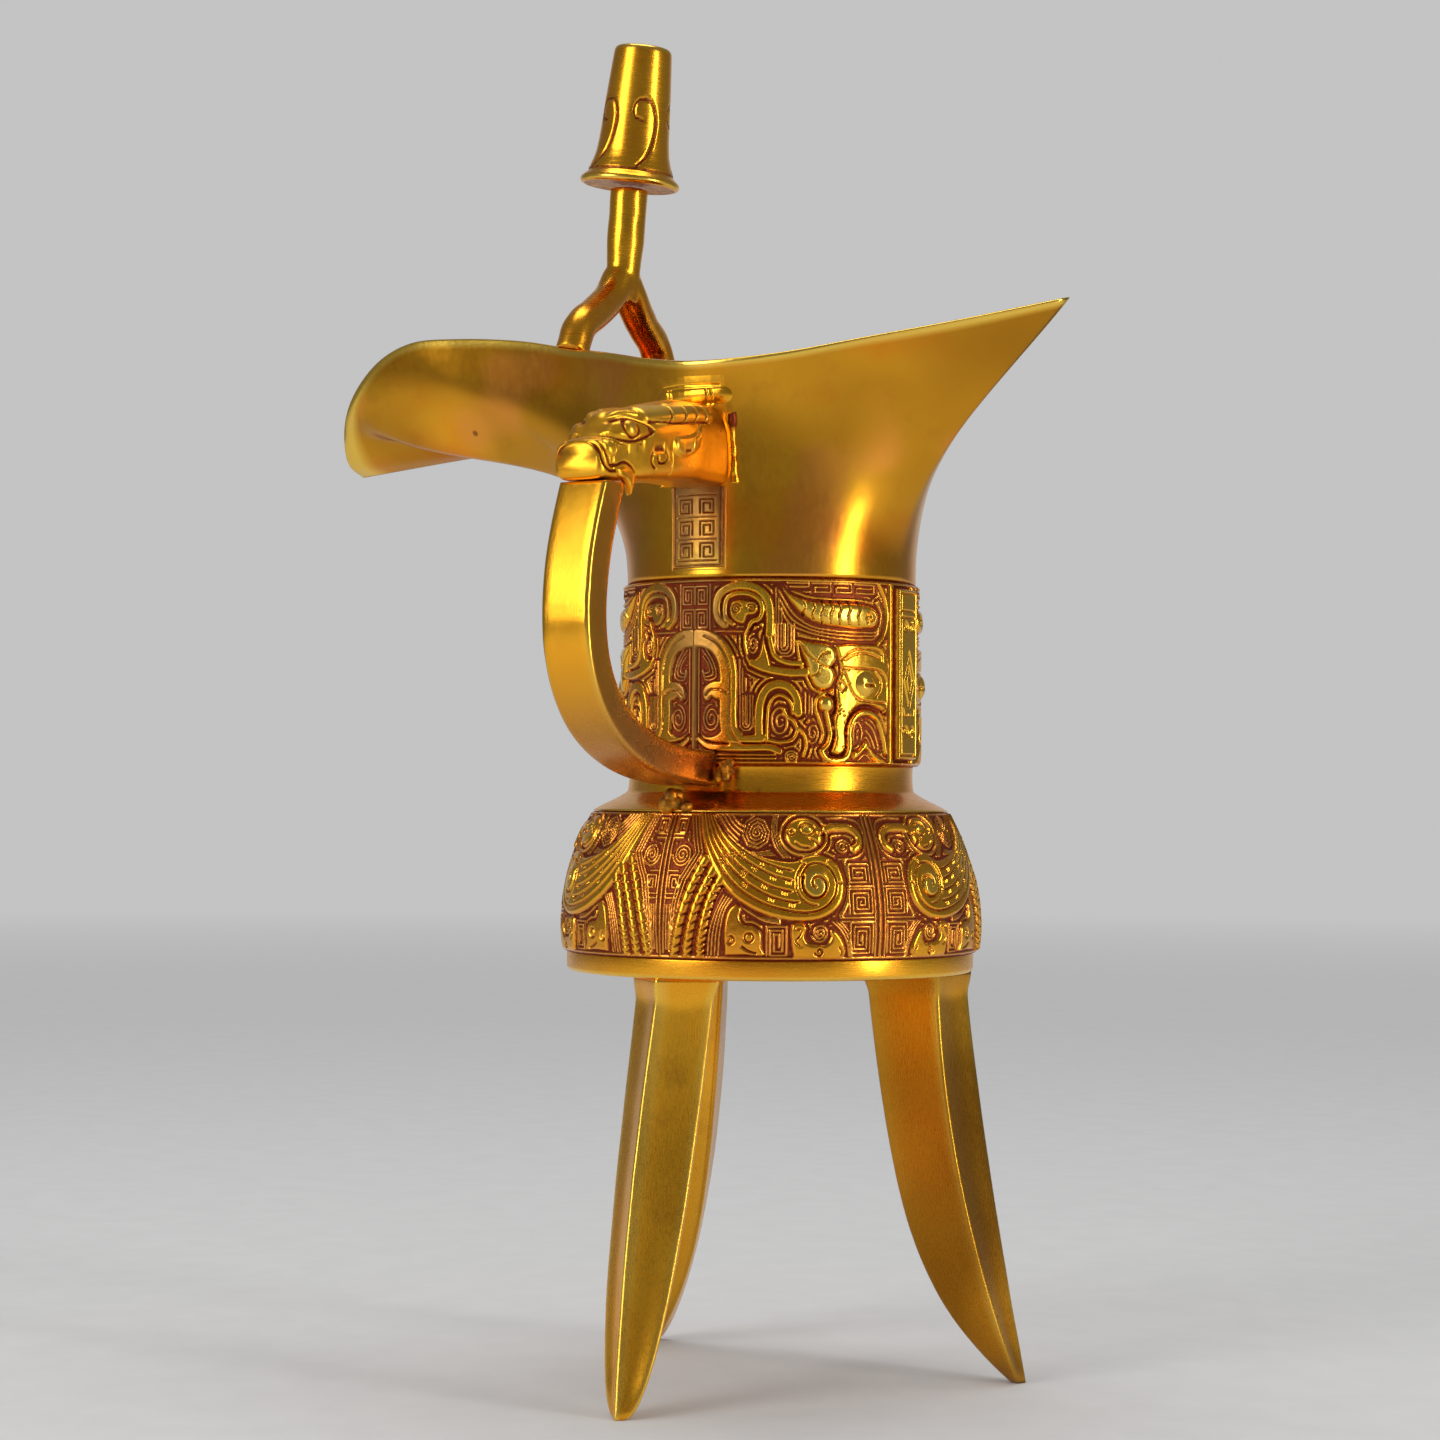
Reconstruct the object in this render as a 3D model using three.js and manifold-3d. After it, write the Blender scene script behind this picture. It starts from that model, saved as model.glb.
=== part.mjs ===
// Three-legged ritual wine cup (jue) in gilt bronze, in millimetres, +Z up.
// The tail points to +X, the pouring spout to -X and the handle to -Y.
import * as THREE from "three";
import { mergeVertices } from "three/addons/utils/BufferGeometryUtils.js";
import Module from "manifold-3d";

const wasm = await Module();
wasm.setup();

// Heights of the joints between the castings, from the floor up.
const LEG_HEIGHT = 76.6;
const BASE_RING_HEIGHT = 3.7;
const BELLY_HEIGHT = 26.1;
const SHOULDER_HEIGHT = 8.4;
const WAIST_HEIGHT = 33.6;

// Radii and walls of the body.
const BELLY_TOP_RADIUS = 33.4;
const BELLY_MAX_RADIUS = 39.4;
const BELLY_FOOT_RADIUS = 38.9;
const BASE_STEP = 0.7;
const BELLY_WALL = 3;
const COLLAR_STEP = 1.2;
const COLLAR_HEIGHT = 4;
const WAIST_RADIUS = 28;
const WAIST_WALL = 2;
const NECK_STEP = 0.9;
const MOUTH_WALL = 2;
const SPIGOT_CLEARANCE = 0.3;
const SHOULDER_WALL = 2.6;
const LEDGE_WIDTH = 3;
const LEDGE_HEIGHT = 1.6;
const BOWL_FLOOR = 2.2;
const BOWL_RIM_WALL = 2.4;
const BOWL_SAG = 1.5;
const FIT_CLEARANCE = 0.2;
const AROUND = 64;

// Mouth: reaches from the axis, and rises of the lip above the waist.
const TAIL_REACH = 61.5;
const TAIL_RISE = 50.4;
const SPOUT_REACH = 96.8;
const SPOUT_FLOOR_RISE = 25.2;
const SPOUT_LIP_RISE = 49.2;
const SPOUT_HALF_WIDTH = 17;
const MOUTH_HALF_WIDTH = 30.1;
const SADDLE_RISE = 39.4;
const SPIGOT_STEP = 1.4;
const SPIGOT_STEP_DROP = 3;
const MOUTH_LEVELS = 14;
const LIP_STEPS = 2;

// Legs: kite section with an outer ridge, two side edges and an inner edge.
const LEG_TOP_RIDGE = 37;
const LEG_TOP_SIDE = 31.3;
const LEG_TOP_INNER = 17.7;
const LEG_TOP_HALF_WIDTH = 8.6;
const LEG_TIP_RIDGE = 48.4;
const LEG_TIP_SIDE = 46.5;
const LEG_TIP_INNER = 45.1;
const LEG_TIP_HALF_WIDTH = 1.3;
const LEG_LEVELS = 16;
const FRONT_LEG_LEAN = 0.9;
const FRONT_LEG_BOW = 7.5;

// Handle: a head on the neck and a bent bar down to the shoulder.
const STRAP_WIDTH = 9.7;
const STRAP_THICKNESS = 6.4;
const STRAP_REACH = 70.2;
const STRAP_TOP_RADIUS = 60.2;
const STRAP_FOOT_DROP = 1.4;
const STRAP_BEVEL = 0.8;
const STRAP_STEPS = 22;
const HEAD_WIDTH = 15;
const HEAD_RISE = 16.5;
const HEAD_REACH = 66.5;
const HEAD_REAR_HEIGHT = 15;
const CONTACT_GAP = 0.3;
const BRAZE_GAP = 0.1;

// Post: a fork on the lip, its shaft and the bell cap.
const POST_SETBACK = 34.6;
const POST_SKEW = 1.5;
const SHAFT_SETBACK = 34.1;
const FORK_RISE = 12.4;
const FORK_ROD_RADIUS = 3.4;
const SHAFT_RADIUS = 3.9;
const SHAFT_LENGTH = 20.6;
const POST_LEAN = 0.085;
const TENON_RADIUS = 2.4;
const TENON_LENGTH = 14;
const CAP_HEIGHT = 27;
const CAP_BASE_RADIUS = 9.7;
const CAP_TOP_RADIUS = 5.4;
const CAP_LEAN = 0.115;
const CAP_TOP_WALL = 1.6;

const FLANGE_WIDTH = 7.3;
const FLANGE_MARGIN = 1;
const FLANGE_THICKNESS = 1.3;

// Braze beads at the strap's foot: half sizes.
const UNDER_BEAD = [5.6, 3, 2.4];
const SIDE_BEAD = [1.6, 2, 3];

const BASE_TOP = LEG_HEIGHT + BASE_RING_HEIGHT;
const BELLY_TOP = BASE_TOP + BELLY_HEIGHT;
const SHOULDER_TOP = BELLY_TOP + SHOULDER_HEIGHT;
const WAIST_TOP = SHOULDER_TOP + WAIST_HEIGHT;
const BASE_RING_RADIUS = BELLY_FOOT_RADIUS - BASE_STEP;
const COLLAR_RADIUS = WAIST_RADIUS - COLLAR_STEP;
const NECK_RADIUS = WAIST_RADIUS - NECK_STEP;
const HEAD_BASE = WAIST_TOP + HEAD_RISE;
const STRAP_FOOT = SHOULDER_TOP - STRAP_FOOT_DROP;

function between(low, high, share) {
  return low + (high - low) * share;
}

function finish(colour, roughness) {
  return new THREE.MeshStandardMaterial({ color: colour, roughness, metalness: 1 });
}

function piece(name, geometry, material) {
  const mesh = new THREE.Mesh(geometry, material);
  mesh.name = name;
  return mesh;
}

// Turns the faces of a closed geometry outwards.
function faceOut(geometry) {
  const spots = geometry.attributes.position;
  const faces = geometry.index.array;
  const [a, b, c] = [0, 1, 2].map(() => new THREE.Vector3());
  let volume = 0;
  for (let i = 0; i < faces.length; i += 3) {
    a.fromBufferAttribute(spots, faces[i]);
    b.fromBufferAttribute(spots, faces[i + 1]);
    c.fromBufferAttribute(spots, faces[i + 2]);
    volume += a.dot(b.cross(c));
  }
  if (volume < 0) {
    for (let i = 0; i < faces.length; i += 3) {
      [faces[i + 1], faces[i + 2]] = [faces[i + 2], faces[i + 1]];
    }
  }
  geometry.computeVertexNormals();
  return geometry;
}

// A solid of revolution about Z from [radius, height] corners, which close on themselves or
// start and end on the axis.
function revolve(corners, around = AROUND) {
  const profile = corners.map(([r, z]) => new THREE.Vector2(r, z));
  if (corners[0][0] > 0) profile.push(profile[0].clone());
  return faceOut(new THREE.LatheGeometry(profile, around).rotateX(Math.PI / 2));
}

// A closed skin through rings of points; the ends are capped, or joined when closed is true.
function skin(rings, closed = false) {
  const count = rings[0].length;
  const positions = rings.flat().flatMap((p) => [p.x, p.y, p.z]);
  const faces = [];
  const bands = closed ? rings.length : rings.length - 1;
  for (let k = 0; k < bands; k++) {
    const lower = k * count;
    const upper = ((k + 1) % rings.length) * count;
    for (let i = 0; i < count; i++) {
      const j = (i + 1) % count;
      faces.push(lower + i, lower + j, upper + j);
      faces.push(lower + i, upper + j, upper + i);
    }
  }
  if (!closed) {
    for (const [ring, flip] of [[0, true], [rings.length - 1, false]]) {
      const centre = positions.length / 3;
      const middle = new THREE.Vector3();
      rings[ring].forEach((p) => middle.addScaledVector(p, 1 / count));
      positions.push(middle.x, middle.y, middle.z);
      for (let i = 0; i < count; i++) {
        const a = ring * count + i;
        const b = ring * count + ((i + 1) % count);
        faces.push(centre, flip ? b : a, flip ? a : b);
      }
    }
  }
  const geometry = new THREE.BufferGeometry();
  geometry.setAttribute("position", new THREE.Float32BufferAttribute(positions, 3));
  geometry.setIndex(faces);
  return faceOut(geometry);
}

function solid(geometry) {
  const bare = geometry.clone();
  bare.deleteAttribute("normal");
  bare.deleteAttribute("uv");
  const merged = mergeVertices(bare, 1e-4);
  return new wasm.Manifold(
    new wasm.Mesh({
      numProp: 3,
      vertProperties: new Float32Array(merged.attributes.position.array),
      triVerts: new Uint32Array(merged.index.array),
    }),
  );
}

function geometryOf(body) {
  const mesh = body.getMesh();
  const geometry = new THREE.BufferGeometry();
  geometry.setAttribute("position", new THREE.BufferAttribute(mesh.vertProperties, 3));
  geometry.setIndex(new THREE.BufferAttribute(mesh.triVerts, 1));
  geometry.computeVertexNormals();
  return geometry;
}

// Each station of the lip: its point, the neck angle that its wall rises from (degrees from the
// tail), the way the wall arrives there, and the lengths of the wall's rise and arrival as
// shares of the saddle's rise.
function lipStations() {
  const tail = (share, wide, up, angle, way, rise, run) => ({
    at: [TAIL_REACH * share, MOUTH_HALF_WIDTH * wide, between(SADDLE_RISE, TAIL_RISE, up)],
    angle,
    way,
    rise,
    run,
  });
  const throat = (share, wide, up, angle, way, rise, run) => ({
    at: [
      -SPOUT_REACH * share,
      between(SPOUT_HALF_WIDTH, MOUTH_HALF_WIDTH, wide),
      between(SADDLE_RISE, SPOUT_LIP_RISE, up),
    ],
    angle,
    way,
    rise,
    run,
  });
  const spout = (share, wide, up, angle, way, rise, run) => ({
    at: [
      -SPOUT_REACH * share,
      SPOUT_HALF_WIDTH * wide,
      between(SPOUT_FLOOR_RISE, SPOUT_LIP_RISE, up),
    ],
    angle,
    way,
    rise,
    run,
  });
  return [
    tail(1, 0, 1, 0, [0.67, 0, 0.74], 0.522, 0.522),
    tail(0.732, 0.375, 0.606, 19, [0.5, 0.3, 0.8], 0.448, 0.498),
    tail(0.504, 0.654, 0.327, 39, [0.32, 0.36, 0.87], 0.398, 0.398),
    tail(0.26, 0.88, 0.077, 62, [0.12, 0.3, 0.95], 0.348, 0.348),
    tail(0, 1, 0, 86, [0, 0.2, 0.98], 0.348, 0.348),
    throat(0.124, 0.84, 0.158, 101, [0, 0.18, 0.98], 0.373, 0.348),
    throat(0.227, 0.565, 0.368, 112, [0, 0.14, 0.99], 0.423, 0.348),
    throat(0.341, 0.221, 0.579, 123, [0, 0.1, 0.99], 0.547, 0.373),
    throat(0.475, 0.076, 0.842, 134, [0, 0.06, 1], 0.672, 0.398),
    throat(0.63, 0.015, 1, 145, [0, 0.04, 1], 0.771, 0.423),
    spout(0.749, 1, 1, 152, [-0.1, 0.03, 1], 0.821, 0.423),
    spout(0.842, 0.941, 0.868, 157, [-0.3, 0.05, 0.95], 0.846, 0.473),
    spout(0.928, 0.794, 0.585, 163, [-0.55, 0.15, 0.78], 0.846, 0.597),
    spout(0.982, 0.529, 0.31, 169, [-0.9, 0.2, 0.14], 0.846, 0.871),
    spout(1.005, 0.224, 0.078, 175, [-1, 0.08, -0.04], 0.846, 1.294),
    spout(1, 0, 0, 180, [-1, 0, -0.1], 0.846, 1.493),
  ];
}

function lipCurve() {
  const spots = lipStations().map(({ at }) => new THREE.Vector3(at[0], at[1], at[2] + WAIST_TOP));
  return new THREE.CatmullRomCurve3(spots);
}

// The wall's outer face over half the mouth, as one column of points per lip step.
function wallColumns(grow = 0) {
  const stations = lipStations();
  const lip = lipCurve();
  const way = new THREE.CatmullRomCurve3(stations.map((s) => new THREE.Vector3(...s.way)));
  const rates = new THREE.CatmullRomCurve3(
    stations.map((s) => new THREE.Vector3(s.angle, s.rise * SADDLE_RISE, s.run * SADDLE_RISE)),
  );
  const steps = (stations.length - 1) * LIP_STEPS;
  const columns = [];
  for (let i = 0; i <= steps; i++) {
    const end = lip.getPoint(i / steps);
    const arrive = way.getPoint(i / steps).normalize();
    const rate = rates.getPoint(i / steps);
    const angle = THREE.MathUtils.degToRad(rate.x);
    const side = i === 0 || i === steps ? 0 : 1;
    end.y *= side;
    const start = new THREE.Vector3(Math.cos(angle), Math.sin(angle) * side, 0);
    start.multiplyScalar(NECK_RADIUS + grow);
    start.z = WAIST_TOP;
    end.y += grow * side;
    const column = new THREE.CubicBezierCurve3(
      start,
      start.clone().add(new THREE.Vector3(0, 0, rate.y)),
      end.clone().addScaledVector(arrive, -rate.z),
      end,
    );
    columns.push(column.getPoints(MOUTH_LEVELS));
  }
  return columns;
}

// The near lip's point at a given x.
function lipAt(x) {
  return lipCurve().getPoints(400).find((p) => p.x <= x);
}

function mirrored(p) {
  return new THREE.Vector3(p.x, -p.y, p.z);
}

// Full rings, counter-clockwise from the tail, from half columns.
function fullRings(columns) {
  const rings = [];
  for (let k = 0; k < columns[0].length; k++) {
    const half = columns.map((column) => column[k]);
    const back = half.slice(1, -1).reverse().map(mirrored);
    rings.push([...half, ...back]);
  }
  return rings;
}

// The inner face: each outer point moved in by the wall, less where the two sides meet.
function insetColumns(columns) {
  return columns.map((column, i) =>
    column.map((p, k) => {
      const before = columns[Math.max(i - 1, 0)][k];
      const after = columns[Math.min(i + 1, columns.length - 1)][k];
      const along = after.clone().sub(before);
      if (i === 0 || i === columns.length - 1) along.set(0, i === 0 ? 1 : -1, 0);
      const up = column[Math.min(k + 1, column.length - 1)].clone();
      up.sub(column[Math.max(k - 1, 0)]);
      const inward = up.cross(along).normalize();
      const mitre = i === 0 ? 1 + 0.6 * (k / MOUTH_LEVELS) : 1;
      const room = i === 0 || i === columns.length - 1 ? 1e3 : 0.7 * p.y;
      const depth = Math.min(MOUTH_WALL * mitre, room / Math.max(Math.abs(inward.y), 1e-3));
      const inset = p.clone().addScaledVector(inward, depth);
      if (k < MOUTH_LEVELS) return inset;
      const arrive = p.clone().sub(column[k - 1]).normalize();
      const level = (inward.z * arrive.z) / (arrive.z * arrive.z + 0.05);
      return inset.addScaledVector(arrive, -depth * Math.max(level, 0));
    }),
  );
}

function ringAt(radius, height, angles) {
  return angles.map((a) => new THREE.Vector3(radius * Math.cos(a), radius * Math.sin(a), height));
}

function mouthCasting() {
  const outer = wallColumns();
  const inner = insetColumns(outer);
  const outerRings = fullRings(outer);
  const innerRings = fullRings(inner);
  const angles = outerRings[0].map((p) => Math.atan2(p.y, p.x));
  const spigot = WAIST_RADIUS - WAIST_WALL - SPIGOT_CLEARANCE;
  const bore = NECK_RADIUS - MOUTH_WALL - SPIGOT_STEP;
  const rings = [
    ringAt(spigot, SHOULDER_TOP, angles),
    ringAt(spigot, WAIST_TOP, angles),
    ...outerRings,
    ...innerRings.slice(1).reverse(),
    ringAt(bore, WAIST_TOP - SPIGOT_STEP_DROP, angles),
    ringAt(bore, SHOULDER_TOP, angles),
  ];
  return skin(rings, true);
}

// The mouth filled solid and grown a little, to cut what stands against it.
function neckCutter() {
  const rings = fullRings(wallColumns(CONTACT_GAP));
  return solid(skin(rings));
}

function shoulderOuter() {
  return [
    [BELLY_TOP_RADIUS, BELLY_TOP],
    [COLLAR_RADIUS * 1.045, SHOULDER_TOP - COLLAR_HEIGHT * 1.2],
    [COLLAR_RADIUS, SHOULDER_TOP - COLLAR_HEIGHT],
    [COLLAR_RADIUS, SHOULDER_TOP],
  ];
}

function shoulderRing() {
  const bore = WAIST_RADIUS - WAIST_WALL - SPIGOT_CLEARANCE - SHOULDER_WALL;
  return revolve([
    ...shoulderOuter(),
    [bore, SHOULDER_TOP],
    [bore, SHOULDER_TOP - COLLAR_HEIGHT],
    [BELLY_TOP_RADIUS - BELLY_WALL, BELLY_TOP],
  ]);
}

function bellyOuter() {
  const outline = new THREE.CubicBezierCurve(
    new THREE.Vector2(BELLY_FOOT_RADIUS, BASE_TOP),
    new THREE.Vector2(BELLY_MAX_RADIUS * 1.025, BASE_TOP + BELLY_HEIGHT * 0.35),
    new THREE.Vector2(BELLY_MAX_RADIUS * 0.96, BASE_TOP + BELLY_HEIGHT * 0.72),
    new THREE.Vector2(BELLY_TOP_RADIUS, BELLY_TOP),
  );
  return outline.getPoints(10).map((p) => [p.x, p.y]);
}

function bellyFrieze() {
  const outer = bellyOuter();
  const inner = outer.map(([r, z]) => [r - BELLY_WALL, z]).reverse();
  return revolve([...outer, ...inner]);
}

function baseRing() {
  const bore = BASE_RING_RADIUS - BOWL_RIM_WALL;
  const round = BASE_RING_HEIGHT * 0.24;
  return revolve([
    [BASE_RING_RADIUS - round, LEG_HEIGHT],
    [BASE_RING_RADIUS, LEG_HEIGHT + round],
    [BASE_RING_RADIUS, BASE_TOP],
    [bore, BASE_TOP],
    [bore, LEG_HEIGHT + LEDGE_HEIGHT],
    [bore - LEDGE_WIDTH, LEG_HEIGHT + LEDGE_HEIGHT],
    [bore - LEDGE_WIDTH, LEG_HEIGHT],
  ]);
}

function bottomBowl() {
  const rim = BASE_RING_RADIUS - BOWL_RIM_WALL - FIT_CLEARANCE;
  const seat = LEG_HEIGHT + LEDGE_HEIGHT;
  const well = rim - LEDGE_WIDTH - FIT_CLEARANCE;
  const corners = [
    [0, seat - BOWL_SAG],
    [well * 0.5, seat - BOWL_SAG * 0.8],
    [well * 0.97, seat - BOWL_SAG * 0.15],
    [well, seat],
    [rim, seat],
    [rim, BASE_TOP],
    [rim - BOWL_FLOOR, BASE_TOP],
    [well * 0.5, seat - BOWL_SAG * 0.8 + BOWL_FLOOR],
    [0, seat - BOWL_SAG + BOWL_FLOOR],
  ];
  return revolve(corners);
}

// A leg that points to +X; the share t runs from 0 at its top to 1 at its tip.
function legGeometry(lean, bow) {
  const rings = [];
  for (let k = LEG_LEVELS; k >= 0; k--) {
    const t = k / LEG_LEVELS;
    const ridge = LEG_TOP_RIDGE + (LEG_TIP_RIDGE - LEG_TOP_RIDGE) * t ** 1.25;
    const side = LEG_TOP_SIDE + (LEG_TIP_SIDE - LEG_TOP_SIDE) * t ** 1.85;
    const sweep = 0.42 * t ** 1.2 + 0.58 * t ** 5;
    const inner = LEG_TOP_INNER + (LEG_TIP_INNER - LEG_TOP_INNER) * sweep;
    const taper = Math.sqrt(1 - t ** 3);
    const half = LEG_TIP_HALF_WIDTH + (LEG_TOP_HALF_WIDTH - LEG_TIP_HALF_WIDTH) * taper;
    const z = LEG_HEIGHT * (1 - t);
    const shift = lean * t + bow * t * (1 - t);
    rings.push([
      new THREE.Vector3(ridge, shift, z),
      new THREE.Vector3(side, shift + half, z),
      new THREE.Vector3(inner, shift, z),
      new THREE.Vector3(side, shift - half, z),
    ]);
  }
  return skin(rings);
}

// The strap's centre line in the plane of the handle: x is the radius, y the height.
function strapPath() {
  const reach = STRAP_REACH - STRAP_THICKNESS / 2;
  const top = HEAD_BASE + STRAP_THICKNESS / 6;
  const widest = new THREE.Vector2(reach, between(STRAP_FOOT, top, 0.515));
  const landing = COLLAR_RADIUS * 1.16;
  const arrival = new THREE.Vector2(landing, STRAP_FOOT + STRAP_THICKNESS / 8);
  const path = new THREE.CurvePath();
  path.add(
    new THREE.CubicBezierCurve(
      new THREE.Vector2(STRAP_TOP_RADIUS, top),
      new THREE.Vector2(between(STRAP_TOP_RADIUS, reach, 0.5), between(top, widest.y, 0.303)),
      new THREE.Vector2(reach, between(widest.y, top, 0.341)),
      widest,
    ),
  );
  path.add(
    new THREE.CubicBezierCurve(
      widest,
      new THREE.Vector2(reach, between(widest.y, STRAP_FOOT, 0.58)),
      new THREE.Vector2(between(landing, reach, 0.71), between(STRAP_FOOT, widest.y, 0.07)),
      arrival,
    ),
  );
  const end = new THREE.Vector2(COLLAR_RADIUS * 0.925, STRAP_FOOT + STRAP_THICKNESS / 10);
  path.add(new THREE.LineCurve(arrival, end));
  return path;
}

function strapRings() {
  const path = strapPath();
  const bevel = STRAP_BEVEL;
  const w = STRAP_WIDTH / 2;
  const rings = [];
  for (let k = 0; k <= STRAP_STEPS; k++) {
    const centre = path.getPoint(k / STRAP_STEPS);
    const way = path.getTangent(k / STRAP_STEPS);
    const out = new THREE.Vector2(-way.y, way.x);
    const half = STRAP_THICKNESS / 2;
    const section = [
      [w, bevel - half],
      [w, half - bevel],
      [w - bevel, half],
      [bevel - w, half],
      [-w, half - bevel],
      [-w, bevel - half],
      [bevel - w, -half],
      [w - bevel, -half],
    ];
    rings.push(
      section.map(([x, d]) => {
        const p = centre.clone().addScaledVector(out, d);
        return new THREE.Vector3(x, -p.x, p.y);
      }),
    );
  }
  return rings;
}

// The body up to the neck, filled solid and grown by the contact gap.
function bodyCutter() {
  const grown = [...bellyOuter(), ...shoulderOuter()].map(([r, z]) => [r + CONTACT_GAP, z]);
  const waist = WAIST_RADIUS + CONTACT_GAP;
  return solid(
    revolve([
      [0, BASE_TOP],
      ...grown,
      [waist, SHOULDER_TOP - CONTACT_GAP],
      [waist, WAIST_TOP],
      [0, WAIST_TOP],
    ]),
  );
}

// A block that is wide enough to cut off whatever is above or below a level.
function slab(from, up) {
  const span = 4 * SPOUT_REACH;
  const block = new THREE.BoxGeometry(span, span, span);
  return solid(block.translate(0, 0, up ? from + span / 2 : from - span / 2));
}

function handleStrap() {
  const bar = solid(skin(strapRings()));
  return geometryOf(bar.subtract(slab(HEAD_BASE - BRAZE_GAP, true)).subtract(bodyCutter()));
}

// The animal head, from the neck to the tip of its snout. Each station has shares of the
// reach, the half width, and the heights of its crown and underside.
function headRings() {
  const rear = NECK_RADIUS * 0.963;
  const crown = 6;
  const stations = [
    [0, 0.9, 1, 0],
    [0.171, 0.92, 0.97, 0],
    [0.344, 1, 0.92, 0],
    [0.493, 1, 0.865, 0],
    [0.64, 0.96, 0.8, 0],
    [0.74, 0.88, 0.76, 0],
    [0.81, 0.8, 0.72, 0],
    [0.864, 0.74, 0.64, 0],
    [0.92, 0.7, 0.5, 0],
    [0.97, 0.68, 0.42, 0.013],
    [1, 0.56, 0.34, 0.093],
  ];
  return stations.map(([share, wide, high, low]) => {
    const y = -between(rear, HEAD_REACH, share);
    const w = (HEAD_WIDTH / 2) * wide;
    const top = HEAD_REAR_HEIGHT * high;
    const bottom = HEAD_BASE + HEAD_REAR_HEIGHT * low;
    const cheek = bottom + HEAD_REAR_HEIGHT * 0.08;
    const ring = [new THREE.Vector3(-w * 0.86, y, bottom), new THREE.Vector3(-w, y, cheek)];
    for (let i = 0; i <= crown; i++) {
      const a = Math.PI * (1 - i / crown);
      const z = HEAD_BASE + top * (0.58 + 0.42 * Math.sin(a) ** 0.8);
      ring.push(new THREE.Vector3(w * Math.cos(a), y, z));
    }
    ring.push(new THREE.Vector3(w, y, cheek), new THREE.Vector3(w * 0.86, y, bottom));
    return ring;
  });
}

function handleHead() {
  return geometryOf(solid(skin(headRings())).subtract(neckCutter()));
}

// A rod through points, each with a radius, with round section.
function rod(points, radii, sides = 14, steps = 14) {
  const curve = new THREE.CatmullRomCurve3(points);
  const sizes = new THREE.SplineCurve(radii.map((r, i) => new THREE.Vector2(i, r)));
  const frames = curve.computeFrenetFrames(steps);
  const rings = [];
  for (let k = 0; k <= steps; k++) {
    const centre = curve.getPoint(k / steps);
    const radius = sizes.getPoint(k / steps).y;
    const ring = [];
    for (let i = 0; i < sides; i++) {
      const a = (2 * Math.PI * i) / sides;
      const p = centre.clone();
      p.addScaledVector(frames.normals[Math.round(k)], radius * Math.cos(a));
      p.addScaledVector(frames.binormals[Math.round(k)], radius * Math.sin(a));
      ring.push(p);
    }
    rings.push(ring);
  }
  return solid(skin(rings));
}

// Where the shaft meets the cap: x and height.
function shaftTop() {
  const crotch = lipAt(-POST_SETBACK).z + FORK_RISE;
  const x = -SHAFT_SETBACK + Math.tan(POST_LEAN) * SHAFT_LENGTH;
  return { crotch, x, z: crotch + SHAFT_LENGTH };
}

function postFork() {
  const top = shaftTop();
  const root = -SHAFT_SETBACK;
  const arms = [-1, 1].map((side) => {
    const at = -POST_SETBACK - side * POST_SKEW;
    const spread = lipAt(at).y - MOUTH_WALL / 2;
    const foot = lipAt(at - FORK_ROD_RADIUS).z + CONTACT_GAP;
    const fall = (share) => between(top.crotch, foot, share);
    const arm = rod(
      [
        new THREE.Vector3(root, side * FORK_ROD_RADIUS * 0.18, fall(-0.28)),
        new THREE.Vector3(root, side * FORK_ROD_RADIUS * 1.24, fall(0.08)),
        new THREE.Vector3(between(root, at, 0.6), side * spread * 0.54, fall(0.42)),
        new THREE.Vector3(at, side * spread * 0.85, fall(0.72)),
        new THREE.Vector3(at, side * spread, fall(1.18)),
      ],
      [SHAFT_RADIUS * 0.92, FORK_ROD_RADIUS, FORK_ROD_RADIUS, FORK_ROD_RADIUS, FORK_ROD_RADIUS],
    );
    return arm.subtract(slab(foot, false));
  });
  const shaft = rod(
    [
      new THREE.Vector3(root, 0, top.crotch - SHAFT_RADIUS * 0.38),
      new THREE.Vector3(between(root, top.x, 0.5), 0, between(top.crotch, top.z, 0.5)),
      new THREE.Vector3(top.x, 0, top.z),
    ],
    [FORK_ROD_RADIUS * 0.9, SHAFT_RADIUS, SHAFT_RADIUS],
  );
  const sunk = SHAFT_RADIUS / 8;
  const tenon = solid(
    new THREE.CylinderGeometry(TENON_RADIUS, TENON_RADIUS, TENON_LENGTH + 2 * sunk, 20)
      .rotateX(Math.PI / 2)
      .translate(0, 0, TENON_LENGTH / 2)
      .rotateY(CAP_LEAN)
      .translate(top.x, 0, top.z),
  );
  return geometryOf(arms[0].add(arms[1]).add(shaft).add(tenon));
}

// The bell cap, from shares of its taper and its height.
function capGeometry() {
  const socket = TENON_RADIUS + CONTACT_GAP;
  const corner = (share, up) => [
    between(CAP_TOP_RADIUS, CAP_BASE_RADIUS, share),
    CAP_HEIGHT * up,
  ];
  const dish = CAP_TOP_RADIUS - CAP_TOP_WALL;
  return revolve(
    [
      corner(0.837, 0),
      corner(1, 0.026),
      corner(0.884, 0.059),
      corner(0.605, 0.133),
      corner(0.326, 0.333),
      corner(0.209, 0.63),
      corner(0.047, 0.963),
      corner(-0.14, 1),
      [dish, CAP_HEIGHT],
      [between(dish, socket, 0.9), CAP_HEIGHT * 0.97],
      [socket - CONTACT_GAP, CAP_HEIGHT * 0.955],
      [socket, CAP_HEIGHT * 0.89],
      [socket, 0],
    ],
    32,
  );
}

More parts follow.
